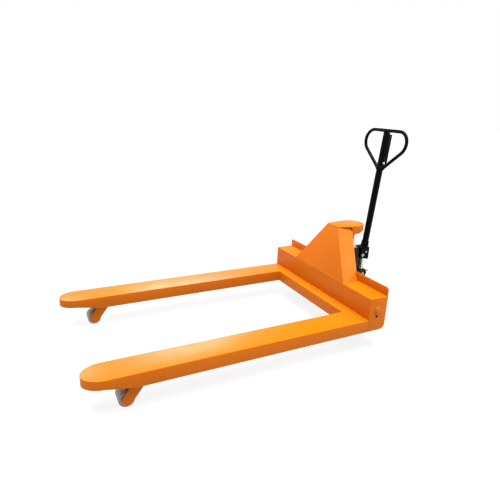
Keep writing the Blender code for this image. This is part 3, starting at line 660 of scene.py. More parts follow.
def add_stage():
    """Add the pale floor, the soft lights, the white room and the camera."""
    scene = bpy.context.scene
    scene.view_settings.view_transform = "Standard"
    add_floor()
    add_world(scene)
    add_lights(scene.jack_stage.daylight)
    add_camera(scene)


def add_floor():
    profile = [(0, -0.02), (FLOOR_RADIUS, -0.02), (FLOOR_RADIUS, 0), (0, 0)]
    floor = upright("floor", profile, 0, 96)
    graph = Graph("lit_floor", (0.06, 0.06, 0.06), 0.9, Emission_Color=(1, 1, 1, 1), Emission_Strength=0.86)
    tone = graph.ranged(graph.noise(0.8, 3), 0.3, 0.7, 0, 0.35)
    graph.colour(graph.mixed(tone, (0.06, 0.06, 0.06), (0.057, 0.057, 0.058)))
    floor.data.materials.append(graph.material)


def add_world(scene):
    """A white wall behind the floor's edge that fades into a dimmer ceiling."""
    world = bpy.data.worlds.new("white_room")
    scene.world = world
    world.use_nodes = True
    nodes = world.node_tree.nodes
    place = node_in(nodes, "TexCoord").outputs["Generated"]
    split = node_in(nodes, "SeparateXYZ", Vector=place)
    ends = {"From_Min": 0.22, "From_Max": 0.36, "To_Min": 1.0, "To_Max": scene.jack_stage.surround}
    height = node_in(nodes, "MapRange", Value=split.outputs["Z"], **ends)
    nodes["Background"].inputs["Color"].default_value = (1, 1, 1, 1)
    fill(nodes["Background"].inputs["Strength"], height.outputs["Result"])


def add_lights(daylight):
    sun = bpy.data.lights.new("overhead", "SUN")
    sun.energy = daylight
    sun.angle = radians(50)
    placed("overhead", sun).rotation_euler = Vector((0.05, -0.07, 1)).to_track_quat("Z", "Y").to_euler()
    for name, place, aim, width, height, power in (
        ("far_softbox", (-3.6, 0.9, 2.3), (0, -0.5, 0.2), 1.5, 1.3, 85),
        ("tip_softbox", (-3.4, -1.2, 2.5), (0.4, -0.9, 0.2), 1.0, 1.3, 50),
        ("side_softbox", (1.6, 2.25, 1.9), (0.16, 0.66, 0.4), 1.6, 1.6, 44),
    ):
        light = bpy.data.lights.new(name, "AREA")
        light.shape = "RECTANGLE"
        light.size, light.size_y = width, height
        light.energy = power
        lamp = placed(name, light)
        lamp.location = place
        lamp.rotation_euler = (Vector(place) - Vector(aim)).to_track_quat("Z", "Y").to_euler()


def add_camera(scene):
    azimuth, elevation, roll = (radians(a) for a in CAMERA_TURN)
    ahead = Vector((
        -sin(azimuth) * cos(elevation), cos(azimuth) * cos(elevation), -sin(elevation),
    ))
    right = ahead.cross(Vector((0, 0, 1))).normalized()
    top = right.cross(ahead)
    turned_right = right * cos(roll) + top * sin(roll)
    turned_top = top * cos(roll) - right * sin(roll)
    camera = placed("camera", bpy.data.cameras.new("camera"))
    camera.data.lens = CAMERA_LENS
    camera.data.sensor_width = 36.0
    columns = zip(turned_right, turned_top, -ahead, CAMERA_EYE)
    camera.matrix_world = Matrix((*columns, (0, 0, 0, 1)))
    scene.camera = camera


# ---- welded frame


def fork_plan(x, margin, heel):
    """Plan of a fork with a rounded tip, drawn in by a margin at its sides and tip."""
    half = (HALF_WIDTH - FORK_INNER) / 2 - margin
    start, steps = TIP_Y + TIP_ROUND, 48
    tip = [
        (x + half * cos(a), start + (TIP_ROUND - margin) * sin(a))
        for a in (radians(180 + 180 * i / steps) for i in range(steps + 1))
    ]
    return [(x + half, heel), (x - half, heel)] + tip


def add_forks():
    """Add the two forks and the beam between them, as welded and ground plate."""
    wide, edge = HALF_WIDTH - FORK_INNER, sizes().plate_edge
    heel, inside = HEEL_Y - CLEAR, HEEL_Y + 0.02
    plan = [
        (BEAM_Y, DECK), (heel, DECK), (heel, SKIRT_LOW), (heel - PLATE, SKIRT_LOW),
        (heel - PLATE, DECK - PLATE),
        (BEAM_Y + PLATE, DECK - PLATE), (BEAM_Y + PLATE, SKIRT_LOW), (BEAM_Y, SKIRT_LOW),
    ]
    deck = prism("deck", plan, "X", -FORK_INNER - 0.001, FORK_INNER + 0.001)
    forks = [prism(f"fork_{s}", fork_plan(s * FORK_X, 0, heel), "Z", SKIRT_LOW, DECK) for s in (1, -1)]
    tapers = [
        prism(
            f"taper_{s}",
            [
                (TIP_Y + TAPER_LONG, SKIRT_LOW), (TIP_Y + TAPER_SHORT, SKIRT_LOW + TIP_RISE),
                (TIP_Y - 0.3, SKIRT_LOW + TIP_RISE), (TIP_Y - 0.3, SKIRT_LOW - 0.1),
                (TIP_Y + TAPER_LONG, SKIRT_LOW - 0.1),
            ],
            "X", s * FORK_X - wide, s * FORK_X + wide,
        )
        for s in (1, -1)
    ]
    hollows = [
        prism(f"hollow_{s}", fork_plan(s * FORK_X, PLATE, inside), "Z", SKIRT_LOW - 0.1, DECK - PLATE)
        for s in (1, -1)
    ]
    machined(deck, welded=forks, carved=tapers, edge=edge, segments=4)
    machined(deck, carved=hollows, edge=0.0006, segments=1, limit=60)
    seam = FORK_INNER - 0.006
    for side, sign in SIDES.items():
        fork = kept_part(deck, f"fork_plate_{side}", (sign * seam, sign > 0))
        carry(fork, "frame", "orange_paint", f"fork_{side}")
    beam = kept_part(deck, "cross_beam_plate", (seam, False), (-seam, True))
    bpy.data.objects.remove(deck)
    carry(beam, "frame", "orange_paint", "cross_beam")
    add_lever_bosses()


def add_lever_bosses():
    """Bushes welded inside the fork skirts take the ends of each lever pin."""
    for side, sign in SIDES.items():
        skirt = (HALF_WIDTH - FORK_INNER) / 2 - PLATE
        bosses = []
        for step in (-1, 1):
            face = sign * FORK_X + step * skirt
            depth = -step * 0.01
            profile = [(0.0105, 0), (0.019, 0), (0.0175, depth * 0.8), (0.016, depth), (0.0105, depth)]
            place = (face, LEVER_PIVOT.y, LEVER_PIVOT.z)
            bosses.append(turned(f"boss_{side}_{step}", profile, place, steps=40))
        carry(joined(f"lever_bosses_{side}", bosses), "frame", "orange_paint")


END_CORNER, FLANGE_CORNER = 0.034, 0.018
LOCK_HOLE = (SHAFT.y - 0.003, up(0.016))
NOTCH_HALF, NOTCH_TOP = 0.135, 0.11


def add_heel():
    """Add the heel box, its end plates, the rear flange and the lift shaft's collars."""
    edge = sizes().plate_edge * 0.8
    rear = HEEL_REAR - PLATE - CLEAR
    section = [
        (HEEL_Y, DECK + CLEAR), (HEEL_Y, HEEL_TOP), (rear, HEEL_TOP), (rear, HEEL_TOP - PLATE),
        (HEEL_Y + PLATE, HEEL_TOP - PLATE), (HEEL_Y + PLATE, DECK + CLEAR),
    ]
    inner = HALF_WIDTH - END_PLATE
    box = prism("heel_box", section, "X", -inner - 0.002, inner + 0.002)
    corner = END_CORNER
    end = [
        (HEEL_Y, SKIRT_LOW), *arc((HEEL_REAR - corner, SKIRT_LOW + corner), corner, -90, 0, 16),
        (HEEL_REAR, HEEL_TOP), (HEEL_Y, HEEL_TOP),
    ]
    ends = [prism(f"end_{s}", end, "X", *sorted((s * inner, s * HALF_WIDTH))) for s in (1, -1)]
    reach = HALF_WIDTH + 0.03
    holes = [drill(SHAFT, 0.0194, -reach, reach)]
    for s in (1, -1):
        near, far = sorted((s * (inner - 0.01), s * reach))
        holes.append(drill(LOCK_HOLE, 0.0085, near, far, 32))
    machined(box, welded=ends, edge=edge, segments=4)
    machined(box, carved=holes, edge=0.0005, segments=1, limit=60)
    seam = inner - 0.004
    for side, sign in SIDES.items():
        plate = kept_part(box, f"end_plate_shell_{side}", (sign * seam, sign > 0))
        carry(plate, "frame", "orange_paint", f"end_plate_{side}")
    middle_plate = kept_part(box, "heel_box_shell", (seam, False), (-seam, True))
    bpy.data.objects.remove(box)
    carry(middle_plate, "frame", "orange_paint", "heel_front", "heel_top")
    add_flange(inner - CLEAR)
    add_collars()
    add_heel_welds()


def add_flange(inside):
    shoulder, crest, r = HEEL_TOP + CLEAR, FLANGE_TOP, FLANGE_CORNER
    notch, top = NOTCH_HALF, up(NOTCH_TOP)
    notch_round, foot_round = 0.012, 0.028
    foot = SKIRT_LOW + foot_round
    outline = [
        *arc((inside - foot_round, foot), foot_round, -90, 0, 10), (inside, shoulder),
        (HALF_WIDTH, shoulder),
        *arc((HALF_WIDTH - r, crest - r), r, 0, 90), *arc((-HALF_WIDTH + r, crest - r), r, 90, 180),
        (-HALF_WIDTH, shoulder), (-inside, shoulder),
        *arc((-inside + foot_round, foot), foot_round, 180, 270, 10),
        (-notch, SKIRT_LOW),
        *arc((-notch + notch_round, top - notch_round), notch_round, 180, 90, 6),
        *arc((notch - notch_round, top - notch_round), notch_round, 90, 0, 6),
        (notch, SKIRT_LOW),
    ]
    plate = prism("rear_flange_plate", outline, "Y", FLANGE_REAR_FRONT, HEEL_REAR)
    carry(machined(plate, edge=0.0018), "frame", "orange_paint", "heel_rear_flange")


def add_collars():
    for side, sign in SIDES.items():
        face = sign * (HALF_WIDTH + CLEAR)
        outer, proud, bore = 0.025, sign * 0.006, 0.0193
        profile = [
            (bore, 0), (outer + 0.001, 0), (outer, proud * 0.25), (outer, proud * 0.66),
            (outer - 0.0008, proud * 0.88), (outer - 0.0024, proud), (bore + 0.0008, proud),
            (bore, proud * 0.86),
        ]
        collar = turned(f"shaft_collar_ring_{side}", profile, (face, SHAFT.y, SHAFT.z))
        cup, rise = sign * 0.0034, sign * 0.0016
        dome = [
            (0, cup), (bore - 0.0002, cup), (bore - 0.0002, cup + rise), (bore * 0.8, cup + rise * 1.7),
            (bore * 0.5, cup + rise * 2.2), (bore * 0.2, cup + rise * 2.45), (0, cup + rise * 2.5),
        ]
        cap = turned(f"shaft_cap_{side}", dome, (face + sign * 0.0015, SHAFT.y, SHAFT.z))
        carry(cap, "frame", "orange_paint")
        # A black disc sunk near the bottom of the lock hole: painted shade that stands in for the hole's
        # dark depth
        ends = sorted((face - sign * 0.0035, face - sign * 0.0075))
        plug = cross_bar(f"lock_hole_painted_shade_{side}", LOCK_HOLE, 0.0084, *ends, 0.0006, 32)
        carry(plug, "frame", "black_paint")
        carry(collar, "frame", "orange_paint", f"shaft_collar_{side}")


def add_heel_welds():
    """Beads in the corners where the forks and the flange meet the box."""
    reach, seam = HALF_WIDTH - 0.004, (FLANGE_REAR_FRONT, HEEL_TOP)
    beads = [
        weld_bead("deck_bead", (-reach, HEEL_Y, DECK), (reach, HEEL_Y, DECK), (0, -0.7, 0.7)),
        weld_bead("flange_bead", (-reach, *seam), (reach, *seam), (0, -0.7, 0.7)),
    ]
    for s in (1, -1):
        x, y = s * FORK_INNER, BEAM_Y
        ends = (x, y, SKIRT_LOW + 0.002), (x, y, DECK - 0.004)
        beads.append(weld_bead(f"beam_bead_{s}", *ends, (1, 0, 0)))
        inner = s * (HALF_WIDTH - END_PLATE)
        ends = (inner, HEEL_REAR - 0.0015, SKIRT_LOW + 0.04), (inner, HEEL_REAR - 0.0015, HEEL_TOP - 0.003)
        beads.append(weld_bead(f"end_bead_{s}", *ends, (1, 0, 0), 0.0022))
    carry(joined("heel_weld_beads", beads), "frame", "orange_paint", sharp=80)


def lean(height):
    """How far back the tower's front has leaned at this height."""
    return TOWER_LEAN * (height - HEEL_TOP) / (TOWER_TOP - HEEL_TOP)


def tower_half(height):
    narrowing = (TOWER_TOP_HALF - TOWER_FOOT_HALF) * (height - HEEL_TOP) / (TOWER_TOP - HEEL_TOP)
    return TOWER_FOOT_HALF + narrowing


CAP_HALF, CAP_END = 0.08, 0.335
SKIRT_FRONT, SKIRT_REAR = 0.06, 0.036


def add_tower():
    """Add the folded tower and the tongue over the ram."""
    add_tower_shell()
    add_tongue()
    add_tower_welds()


def add_tower_shell():
    foot, crown = HEEL_TOP + CLEAR, TOWER_TOP
    rear_foot, rear_top = FLANGE_REAR_FRONT - 0.002, back(0.207)
    step = FLANGE_TOP + 0.002
    ends = ((-1, foot), (1, foot), (1, crown), (-1, crown))
    corners = [(s * tower_half(h), back(lean(h)), h) for s, h in ends]
    tower = extruded("tower_shell", corners, (0, PLATE, 0))
    sides = []
    for s in (1, -1):
        edge = [
            (back(lean(foot)), foot), (rear_foot, foot), (rear_foot, step), (HEEL_REAR + 0.002, step),
            (rear_top, crown), (back(lean(crown)), crown),
        ]
        outline = [(s * tower_half(h), y, h) for y, h in edge]
        sides.append(extruded(f"tower_side_{s}", outline, (-s * PLATE * 1.2, 0, 0)))
    machined(tower, welded=sides, edge=sizes().plate_edge * 0.85, segments=4)
    carry(tower, "frame", "orange_paint", "tower_front", "tower_side_left", "tower_side_right")


def tongue_plan(margin):
    radius = CAP_HALF - margin
    front, centre = TOWER_TOP_HALF - margin, CAP_END - CAP_HALF
    return [
        (front, back(TOWER_LEAN + margin)), (radius, back(0.195)),
        *arc((0, back(centre)), radius, 0, 180, 48),
        (-radius, back(0.195)), (-front, back(TOWER_LEAN + margin)),
    ]


def add_tongue():
    top = CAP_TOP - PLATE
    plate = prism("tongue_plate", tongue_plan(0), "Z", top - SKIRT_FRONT, CAP_TOP)
    machined(plate, edge=sizes().plate_edge, segments=4)
    wide = CAP_HALF + 0.02
    lowest = top - SKIRT_FRONT - 0.05
    carved = [
        prism("hollow", tongue_plan(PLATE), "Z", lowest, top),
        block("open_front", (-wide, back(0.05), lowest), (wide, back(0.198), top)),
        prism(
            "slope",
            [
                (back(0.205), top - SKIRT_FRONT - 0.002),
                *arc((back(0.238), top - SKIRT_FRONT - 0.01), 0.022, 150, 60, 8),
                (back(0.3), top - SKIRT_REAR), (back(0.4), top - SKIRT_REAR),
                (back(0.4), lowest), (back(0.205), lowest),
            ],
            "X", -wide, wide,
        ),
    ]
    machined(plate, carved=carved, edge=0.0008, segments=2, limit=60)
    carry(plate, "frame", "orange_paint", "tower_cap")


def add_tower_welds():
    """Beads along the tower's foot, up the flange, and under the tongue."""
    beads = []
    foot, crown = HEEL_TOP, TOWER_TOP
    half = tower_half(foot)
    for s in (1, -1):
        ends = (s * half, HEEL_Y + 0.004, foot), (s * half, FLANGE_REAR_FRONT - 0.002, foot)
        beads.append(weld_bead(f"foot_bead_{s}", *ends, (s, 0, 1)))
        top = crown - 0.001
        beads.append(weld_bead(
            f"crown_bead_{s}", (s * TOWER_TOP_HALF, back(TOWER_LEAN + 0.006), top),
            (s * TOWER_TOP_HALF, back(0.15), top), (s, 0, -1), 0.0024,
        ))
    seam = (HEEL_Y + 0.0012, foot)
    beads.append(weld_bead("front_bead", (-half, *seam), (half, *seam), (0, -1, 1), 0.0022))
    carry(joined("tower_weld_beads", beads), "frame", "orange_paint", sharp=80)


def add_ram():
    """Add the chromed ram, its seat under the tongue and the cylinder's gland."""
    near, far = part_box("ram_seat")
    rim = (far.x - near.x) / 2
    profile = [
        (0, near.z), (rim - 0.0045, near.z), (rim - 0.0015, near.z + 0.0012), (rim, near.z + 0.004),
        (rim, far.z - 0.004), (rim + 0.0016, far.z - 0.0012), (rim + 0.002, far.z), (0, far.z),
    ]
    carry(upright("ram_seat_cup", profile), "frame", "orange_paint", "ram_seat")
    near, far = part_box("ram")
    radius = (far.x - near.x) / 2
    bar = upright("ram_bar", bar_profile(radius, near.z, far.z, 0.0015), steps=80)
    carry(bar, "frame", "chrome", "ram")
    near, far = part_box("cylinder_gland")
    outer, bore = (far.x - near.x) / 2, radius + 0.0006
    base, tall = near.z, far.z - near.z
    profile = [
        (bore, base), (outer, base), (outer, base + tall * 0.5), (outer - 0.001, base + tall * 0.6),
        (outer - 0.005, base + tall * 0.62), (outer - 0.0055, base + tall * 0.95),
        (outer - 0.0062, far.z),
        (bore + 0.0015, far.z), (bore, far.z - 0.001),
    ]
    gland = upright("gland_ring", profile)
    flats = []
    for k in range(6):
        corners = (outer - 0.0012, -0.02, base - 0.001), (outer + 0.02, 0.02, base + tall * 0.55)
        flat = block(f"flat_{k}", *corners)
        turn = Matrix.Rotation(radians(60 * k + 30), 4, "Z")
        flat.data.transform(Matrix.Translation((0, RAM_Y, 0)) @ turn)
        flats.append(flat)
    carry(machined(gland, carved=flats), "pump", "steel", "cylinder_gland")


# ---- load levers and linkage


def cheek_outline():
    """Side view of a load lever's cheek: hollowed in front, with an ear for the push rod."""
    pivot, axle, ear = ((p.y, p.z) for p in (LEVER_PIVOT, LOAD_AXLE, ROD_PIN))
    radius, ear_radius, pinch = 0.027, 0.0095, 0.0065
    outline = hull(circle(axle, radius, 64) + circle(pivot, radius, 64) + circle(ear, ear_radius, 40))
    along = Vector((axle[0] - pivot[0], axle[1] - pivot[1]))
    length = along.length
    along.normalize()
    front = Vector((along.y, -along.x))
    if front.x > 0:
        front = -front
    dense = []
    for a, b in zip(outline, outline[1:] + outline[:1]):
        steps = max(1, int(dist(a, b) / 0.006))
        dense += between(a, b, steps)
    shaped = []
    for y, z in dense:
        offset = Vector((y - pivot[0], z - pivot[1]))
        share, side = offset.dot(along) / length, offset.dot(front)
        if 0 < share < 1 and side > 0:
            pull = pinch * sin(pi * share) ** 2
            y, z = y - front.x * pull, z - front.y * pull
        shaped.append((y, z))
    return shaped


def pin_with_clips(name, place, x, radius, reach, washer=True):
    """A cross pin with chamfered ends, and a washer and snap ring outside each cheek."""
    parts = [cross_bar(f"{name}_bar", place, radius, x - reach, x + reach, 0.0009, 40)]
    if washer:
        for step in (-1, 1):
            start = x + step * (reach - 0.0018)
            stop = start + step * 0.0008
            bore = radius + 0.0001
            profile = [(bore, start), (radius * 1.34, start), (radius * 1.34, stop), (bore, stop)]
            parts.append(turned(f"{name}_clip_{step}", profile, (0, *place[-2:]), "X", 40))
    return joined(name, parts)


def add_load_levers():
    """Add the load levers with their pins, spacers and rollers."""
    for side, sign in SIDES.items():
        x = sign * FORK_X
        add_lever(side, x)
        add_roller(side, x)


def add_lever(side, x):
    body = f"load_lever_{side}"
    outline = cheek_outline()
    for cheek in ("outer", "inner"):
        node = f"lever_{side}_{cheek}"
        near, far = span(node)
        plate = prism(f"cheek_{side}_{cheek}", outline, "X", near, far)
        wide = (near - 0.01, far + 0.01)
        holes = [
            drill(place, bore, *wide, 40)
            for place, bore in ((LEVER_PIVOT, BORE_20), (LOAD_AXLE, BORE_16), (ROD_PIN, 0.0068))
        ]
        machined(plate, edge=0.0016, segments=3)
        carry(machined(plate, carved=holes), body, "orange_paint", node)
    near, far = span(f"lever_spacer_{side}")
    bore, outer = BORE_20, 0.015
    flare = 0.0035
    profile = [
        (bore, near), (outer + flare, near), (outer + flare * 0.4, near + 0.0018), (outer, near + 0.005),
        (outer, far - 0.005), (outer + flare * 0.4, far - 0.0018), (outer + flare, far), (bore, far),
    ]
    spacer = turned(f"lever_tie_{side}", profile, (0, *LEVER_PIVOT[1:]))
    carry(spacer, body, "orange_paint", f"lever_spacer_{side}")
    for node, place, radius in (("rod_pin", ROD_PIN, 0.0065), ("load_axle", LOAD_AXLE, 0.008)):
        near, far = span(f"{node}_{side}")
        reach = (far - near) / 2
        pin = pin_with_clips(f"{node}_{side}_bar", place, x, radius, reach, node == "rod_pin")
        carry(pin, body, "steel", f"{node}_{side}")
        caps = []
    for end, out in zip(span(f"load_axle_{side}"), (-1, 1)):
        profile = [
            (0, end - out * 0.0019), (0.0118, end - out * 0.0019), (0.0112, end),
            (0.0096, end + out * 0.0011),
            (0, end + out * 0.0013),
        ]
        caps.append(turned(f"axle_cap_{side}_{out}", profile, (0, *LOAD_AXLE[1:]), steps=48))
    carry(joined(f"axle_caps_{side}", caps), body, "orange_paint")
    near, far = span(f"lever_pin_{side}")
    pin = pin_with_clips(f"lever_pin_{side}_bar", LEVER_PIVOT, x, 0.01, (far - near) / 2, False)
    carry(pin, "frame", "steel", f"lever_pin_{side}")


def add_roller(side, x):
    node = f"load_roller_{side}"
    near, far = span(node)
    radius = (high(node).z - low(node).z) / 2
    centre, half, bore = (x, *LOAD_AXLE[1:]), (far - near) / 2, 0.0263
    rim = 0.0045
    tread = [
        (bore, -half), (bore + 0.002, -half), (bore + 0.003, -half + 0.001),
        (radius - rim, -half + 0.0006),
        *[(radius - rim + rim * sin(a), -half + rim - rim * cos(a) + 0.0006)
          for a in (radians(t) for t in (18, 36, 54, 72, 90))],
    ]
    carry(turned(f"roller_tread_{side}", mirrored(tread), centre), node, "grey_polyurethane", node)
    core = [
        (BORE_16, -half), (0.0125, -half), (0.0125, -half + 0.0012), (0.0135, -half + 0.0012),
        (0.0135, -half + 0.0005),
        (0.0205, -half + 0.0005), (0.0205, -half + 0.0018), (0.0225, -half + 0.0018), (0.0225, -half),
        (0.026, -half),
    ]
    carry(turned(f"roller_hub_{side}", mirrored(core), centre), node, "steel", f"roller_core_{side}")


ARM_X, ARM_HALF = 0.112, 0.006


# Centre of the pin through the lift shaft's front arms, as (y, z)
FRONT_ARM, FRONT_SWING = 0.0745, radians(27.1) / 2
FRONT_PIN = (SHAFT.y - FRONT_ARM * sin(FRONT_SWING), SHAFT.z - FRONT_ARM * cos(FRONT_SWING))


def add_linkage():
    """Add the lift shaft with its arms, and the push rods in the forks."""
    add_shaft()
    for side in SIDES:
        add_rod(side)


def add_shaft():
    reach = high("rocker_shaft").x
    axis = (SHAFT.y, SHAFT.z)
    bracket = (RAM_Y, BRACKET_Z)
    shaft = cross_bar("lift_shaft", axis, 0.019, -reach, reach, 0.002)
    along = Vector((bracket[0] - axis[0], bracket[1] - axis[1])).normalized()
    slip = (bracket[0] - 0.008 * along.x, bracket[1] - 0.008 * along.y)
    arms = []
    for s in (1, -1):
        near, far = s * ARM_X - ARM_HALF, s * ARM_X + ARM_HALF
        knee = circle((axis[0] + 0.1, axis[1] - 0.024), 0.02)
        outline = hull(circle(axis, 0.03) + circle(bracket, 0.017) + knee)
        arm = machined(prism(f"rear_arm_{s}", outline, "X", near, far), edge=0.0015, segments=2)
        slot = hull(circle(bracket, 0.0102) + circle(slip, 0.0102))
        eye = prism(f"eye_{s}", slot, "X", near - 0.01, far + 0.01)
        arms.append(machined(arm, carved=[eye]))
        for step in (-1, 1):
            face = s * FORK_X + step * 0.012
            cheek = hull(circle(axis, 0.028) + circle(FRONT_PIN, 0.013))
            plate = prism(f"front_arm_{s}_{step}", cheek, "X", face - 0.004, face + 0.004)
            arms.append(machined(plate, edge=0.0012, segments=2))
        arms.append(cross_bar(
            f"front_pin_{s}", FRONT_PIN, 0.0065, s * FORK_X - 0.019, s * FORK_X + 0.019, 0.001, 32,
        ))
        for x in (s * ARM_X, s * FORK_X):
            collar = 0.0225
            profile = [
                (0.012, x - 0.017), (0.0195, x - 0.017), (collar, x - 0.012), (collar + 0.002, x),
                (collar, x + 0.012), (0.0195, x + 0.017), (0.012, x + 0.017),
            ]
            arms.append(turned(f"arm_weld_{s}_{x:.2f}", profile, (0, *axis)))
    carry(joined("lift_shaft", [shaft, *arms]), "rocker", "black_paint", "rocker_shaft")


def add_rod(side):
    node = f"push_rod_{side}"
    near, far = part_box(node)
    eye, hole, bar = 0.0115, 0.0092, 0.007
    front, rear = (near.y + eye, near.z + eye), (far.y - eye, far.z - eye)
    outline = [
        *arc(front, eye, 38, 322, 28), (front[0] + 0.02, front[1] - bar), (rear[0] - 0.02, rear[1] - bar),
        *arc(rear, eye, -142, 142, 28), (rear[0] - 0.02, rear[1] + bar),
        (front[0] + 0.02, front[1] + bar),
    ]
    rod = prism(f"{node}_bar", outline, "X", near.x, far.x)
    holes = [drill(place, hole, near.x - 0.01, far.x + 0.01, 36) for place in (front, rear)]
    machined(rod, edge=0.0016, segments=3)
    carry(machined(rod, carved=holes), node, "steel", node)


# ---- steering and pump


def add_steering():
    """Add the steering wheels, their axle and block, the thrust bearing and the bracket."""
    for side in SIDES:
        add_wheel(side)
    add_axle()
    add_block()
    add_bracket()


def add_wheel(side):
    near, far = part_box(f"steer_tyre_{side}")
    centre = ((near.x + far.x) / 2, RAM_Y, WHEEL_Z)
    radius, half, hub = (far.z - near.z) / 2, (far.x - near.x) / 2, 0.068
    shoulder = 0.0075
    tyre = [
        (hub + CLEAR, -half + 0.001), (hub + 0.004, -half), (radius - shoulder - 0.004, -half),
        (radius - shoulder - 0.003, -half + 0.0007), (radius - shoulder, -half + 0.0007),
        *[(radius - shoulder + shoulder * sin(a), -half + 0.0007 + shoulder * (1 - cos(a)))
          for a in (radians(t) for t in (15, 30, 45, 60, 75, 90))],
    ]
    body = f"steer_wheel_{side}"
    ring = turned(f"tyre_{side}", mirrored(tyre), centre, steps=96)
    carry(ring, body, "black_rubber", f"steer_tyre_{side}")
    rim, web, boss, bore = half - 0.001, 0.008, 0.024, BORE_20
    hollow = [
        (bore, -rim), (boss - 0.001, -rim), (boss, -rim + 0.001), (boss + 0.0035, -web - 0.003),
        (boss + 0.007, -web),
        (hub - 0.014, -web), (hub - 0.0105, -web - 0.003), (hub - 0.007, -rim + 0.001),
        (hub - 0.006, -rim), (hub, -rim),
    ]
    disc = turned(f"hub_{side}", mirrored(hollow), centre)
    windows, ribs = [], []
    for k in range(6):
        a = radians(60 * k + 30)
        place = (centre[1] + 0.042 * cos(a), centre[2] + 0.042 * sin(a))
        windows.append(drill(place, 0.0078, centre[0] - 0.03, centre[0] + 0.03, 36))
        rib = block(f"rib_{k}", (-rim + 0.004, 0.022, -0.0028), (rim - 0.004, hub - 0.004, 0.0028))
        rib.data.transform(Matrix.Translation(centre) @ Matrix.Rotation(radians(60 * k), 4, "X"))
        ribs.append(rib)
    machined(disc, welded=ribs, carved=windows)
    carry(disc, body, "cast_black", f"steer_hub_{side}")
    parts = []
    for step in (-1, 1):
        face = centre[0] + step * rim
        sunk = -step * 0.0015
        proud = face + step * 0.0004
        profile = [(0.0108, face + sunk), (0.0108, proud), (0.0205, proud), (0.0205, face + sunk)]
        parts.append(turned(f"seal_{side}_{step}", profile, (0, RAM_Y, WHEEL_Z), steps=48))
    carry(joined(f"bearing_seals_{side}", parts), body, "steel")


def add_axle():
    reach = high("steer_axle").x
    cap = 0.016
    profile = [
        (0, -reach), (cap - 0.006, -reach), (cap - 0.002, -reach + 0.0012), (cap, -reach + 0.003),
        (cap, -reach + 0.005),
        (0.01, -reach + 0.005),
    ]
    axle = turned("wheel_axle", mirrored(profile), (0, RAM_Y, WHEEL_Z), steps=48)
    carry(axle, "pump", "steel", "steer_axle")


def add_block():
    near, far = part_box("axle_block")
    top = BRACKET_Z - 0.016
    body = machined(block("axle_casting", near, (far.x, far.y, top)), edge=0.005, segments=4)
    spindle = upright("spindle", bar_profile(0.0225, top - 0.02, far.z), steps=56)
    bore = drill((RAM_Y, WHEEL_Z), BORE_20, -0.05, 0.05, 48)
    pads = [
        turned(
            f"pad_{s}", [(0.009, 0), (0.0205, 0), (0.0195, s * 0.0022), (0.009, s * 0.0022)],
            (s * (far.x - 0.0002), RAM_Y, WHEEL_Z), steps=48,
        )
        for s in (1, -1)
    ]
    carry(machined(body, welded=[spindle, *pads], carved=[bore]), "pump", "cast_black", "axle_block")


def add_bracket():
    bore, rim, half = 0.0232, 0.062, 0.008
    z = BRACKET_Z
    profile = [
        (bore, z - half), (rim - 0.002, z - half), (rim, z - half + 0.002), (rim, z + half - 0.002),
        (rim - 0.002, z + half), (0.046, z + half), (0.044, z + half - 0.0012), (bore, z + half - 0.0012),
    ]
    ring = upright("bracket_ring", profile, steps=80)
    trunnions = []
    for s in (1, -1):
        ends = sorted((s * 0.05, s * high("base_bracket").x))
        trunnions.append(cross_bar(f"trunnion_{s}", (RAM_Y, z), 0.009, *ends, 0.0015, 40))
        root = sorted((s * 0.052, s * 0.08))
        trunnions.append(cross_bar(f"trunnion_root_{s}", (RAM_Y, z), 0.0105, *root, 0.003, 40))
    carry(machined(ring, welded=trunnions), "lift_bracket", "cast_black", "base_bracket")
    near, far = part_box("thrust_bearing")
    outer, low_z, high_z = far.x, near.z, far.z
    split = (low_z + high_z) / 2
    race = [
        (bore, low_z), (outer - 0.001, low_z), (outer, low_z + 0.001), (outer, split - 0.0008),
        (outer - 0.0015, split - 0.0008),
        (outer - 0.0015, split + 0.0008), (outer, split + 0.0008), (outer, high_z - 0.001),
        (outer - 0.001, high_z), (bore, high_z),
    ]
    carry(upright("thrust_race", race, steps=72), "lift_bracket", "steel", "thrust_bearing")


PUMP_RADIUS = 0.046
VALVE_PIVOT = (back(0.425), up(0.06))
PUMP_BLOCK_LOW, PUMP_BLOCK_TOP = 0.036, 0.095


def add_pump():
    """Add the cast pump body, its plugs and bolts, the tiller's pin and the release valve's lever."""
    add_pump_body()
    add_pump_fittings()
    add_valve_lever()


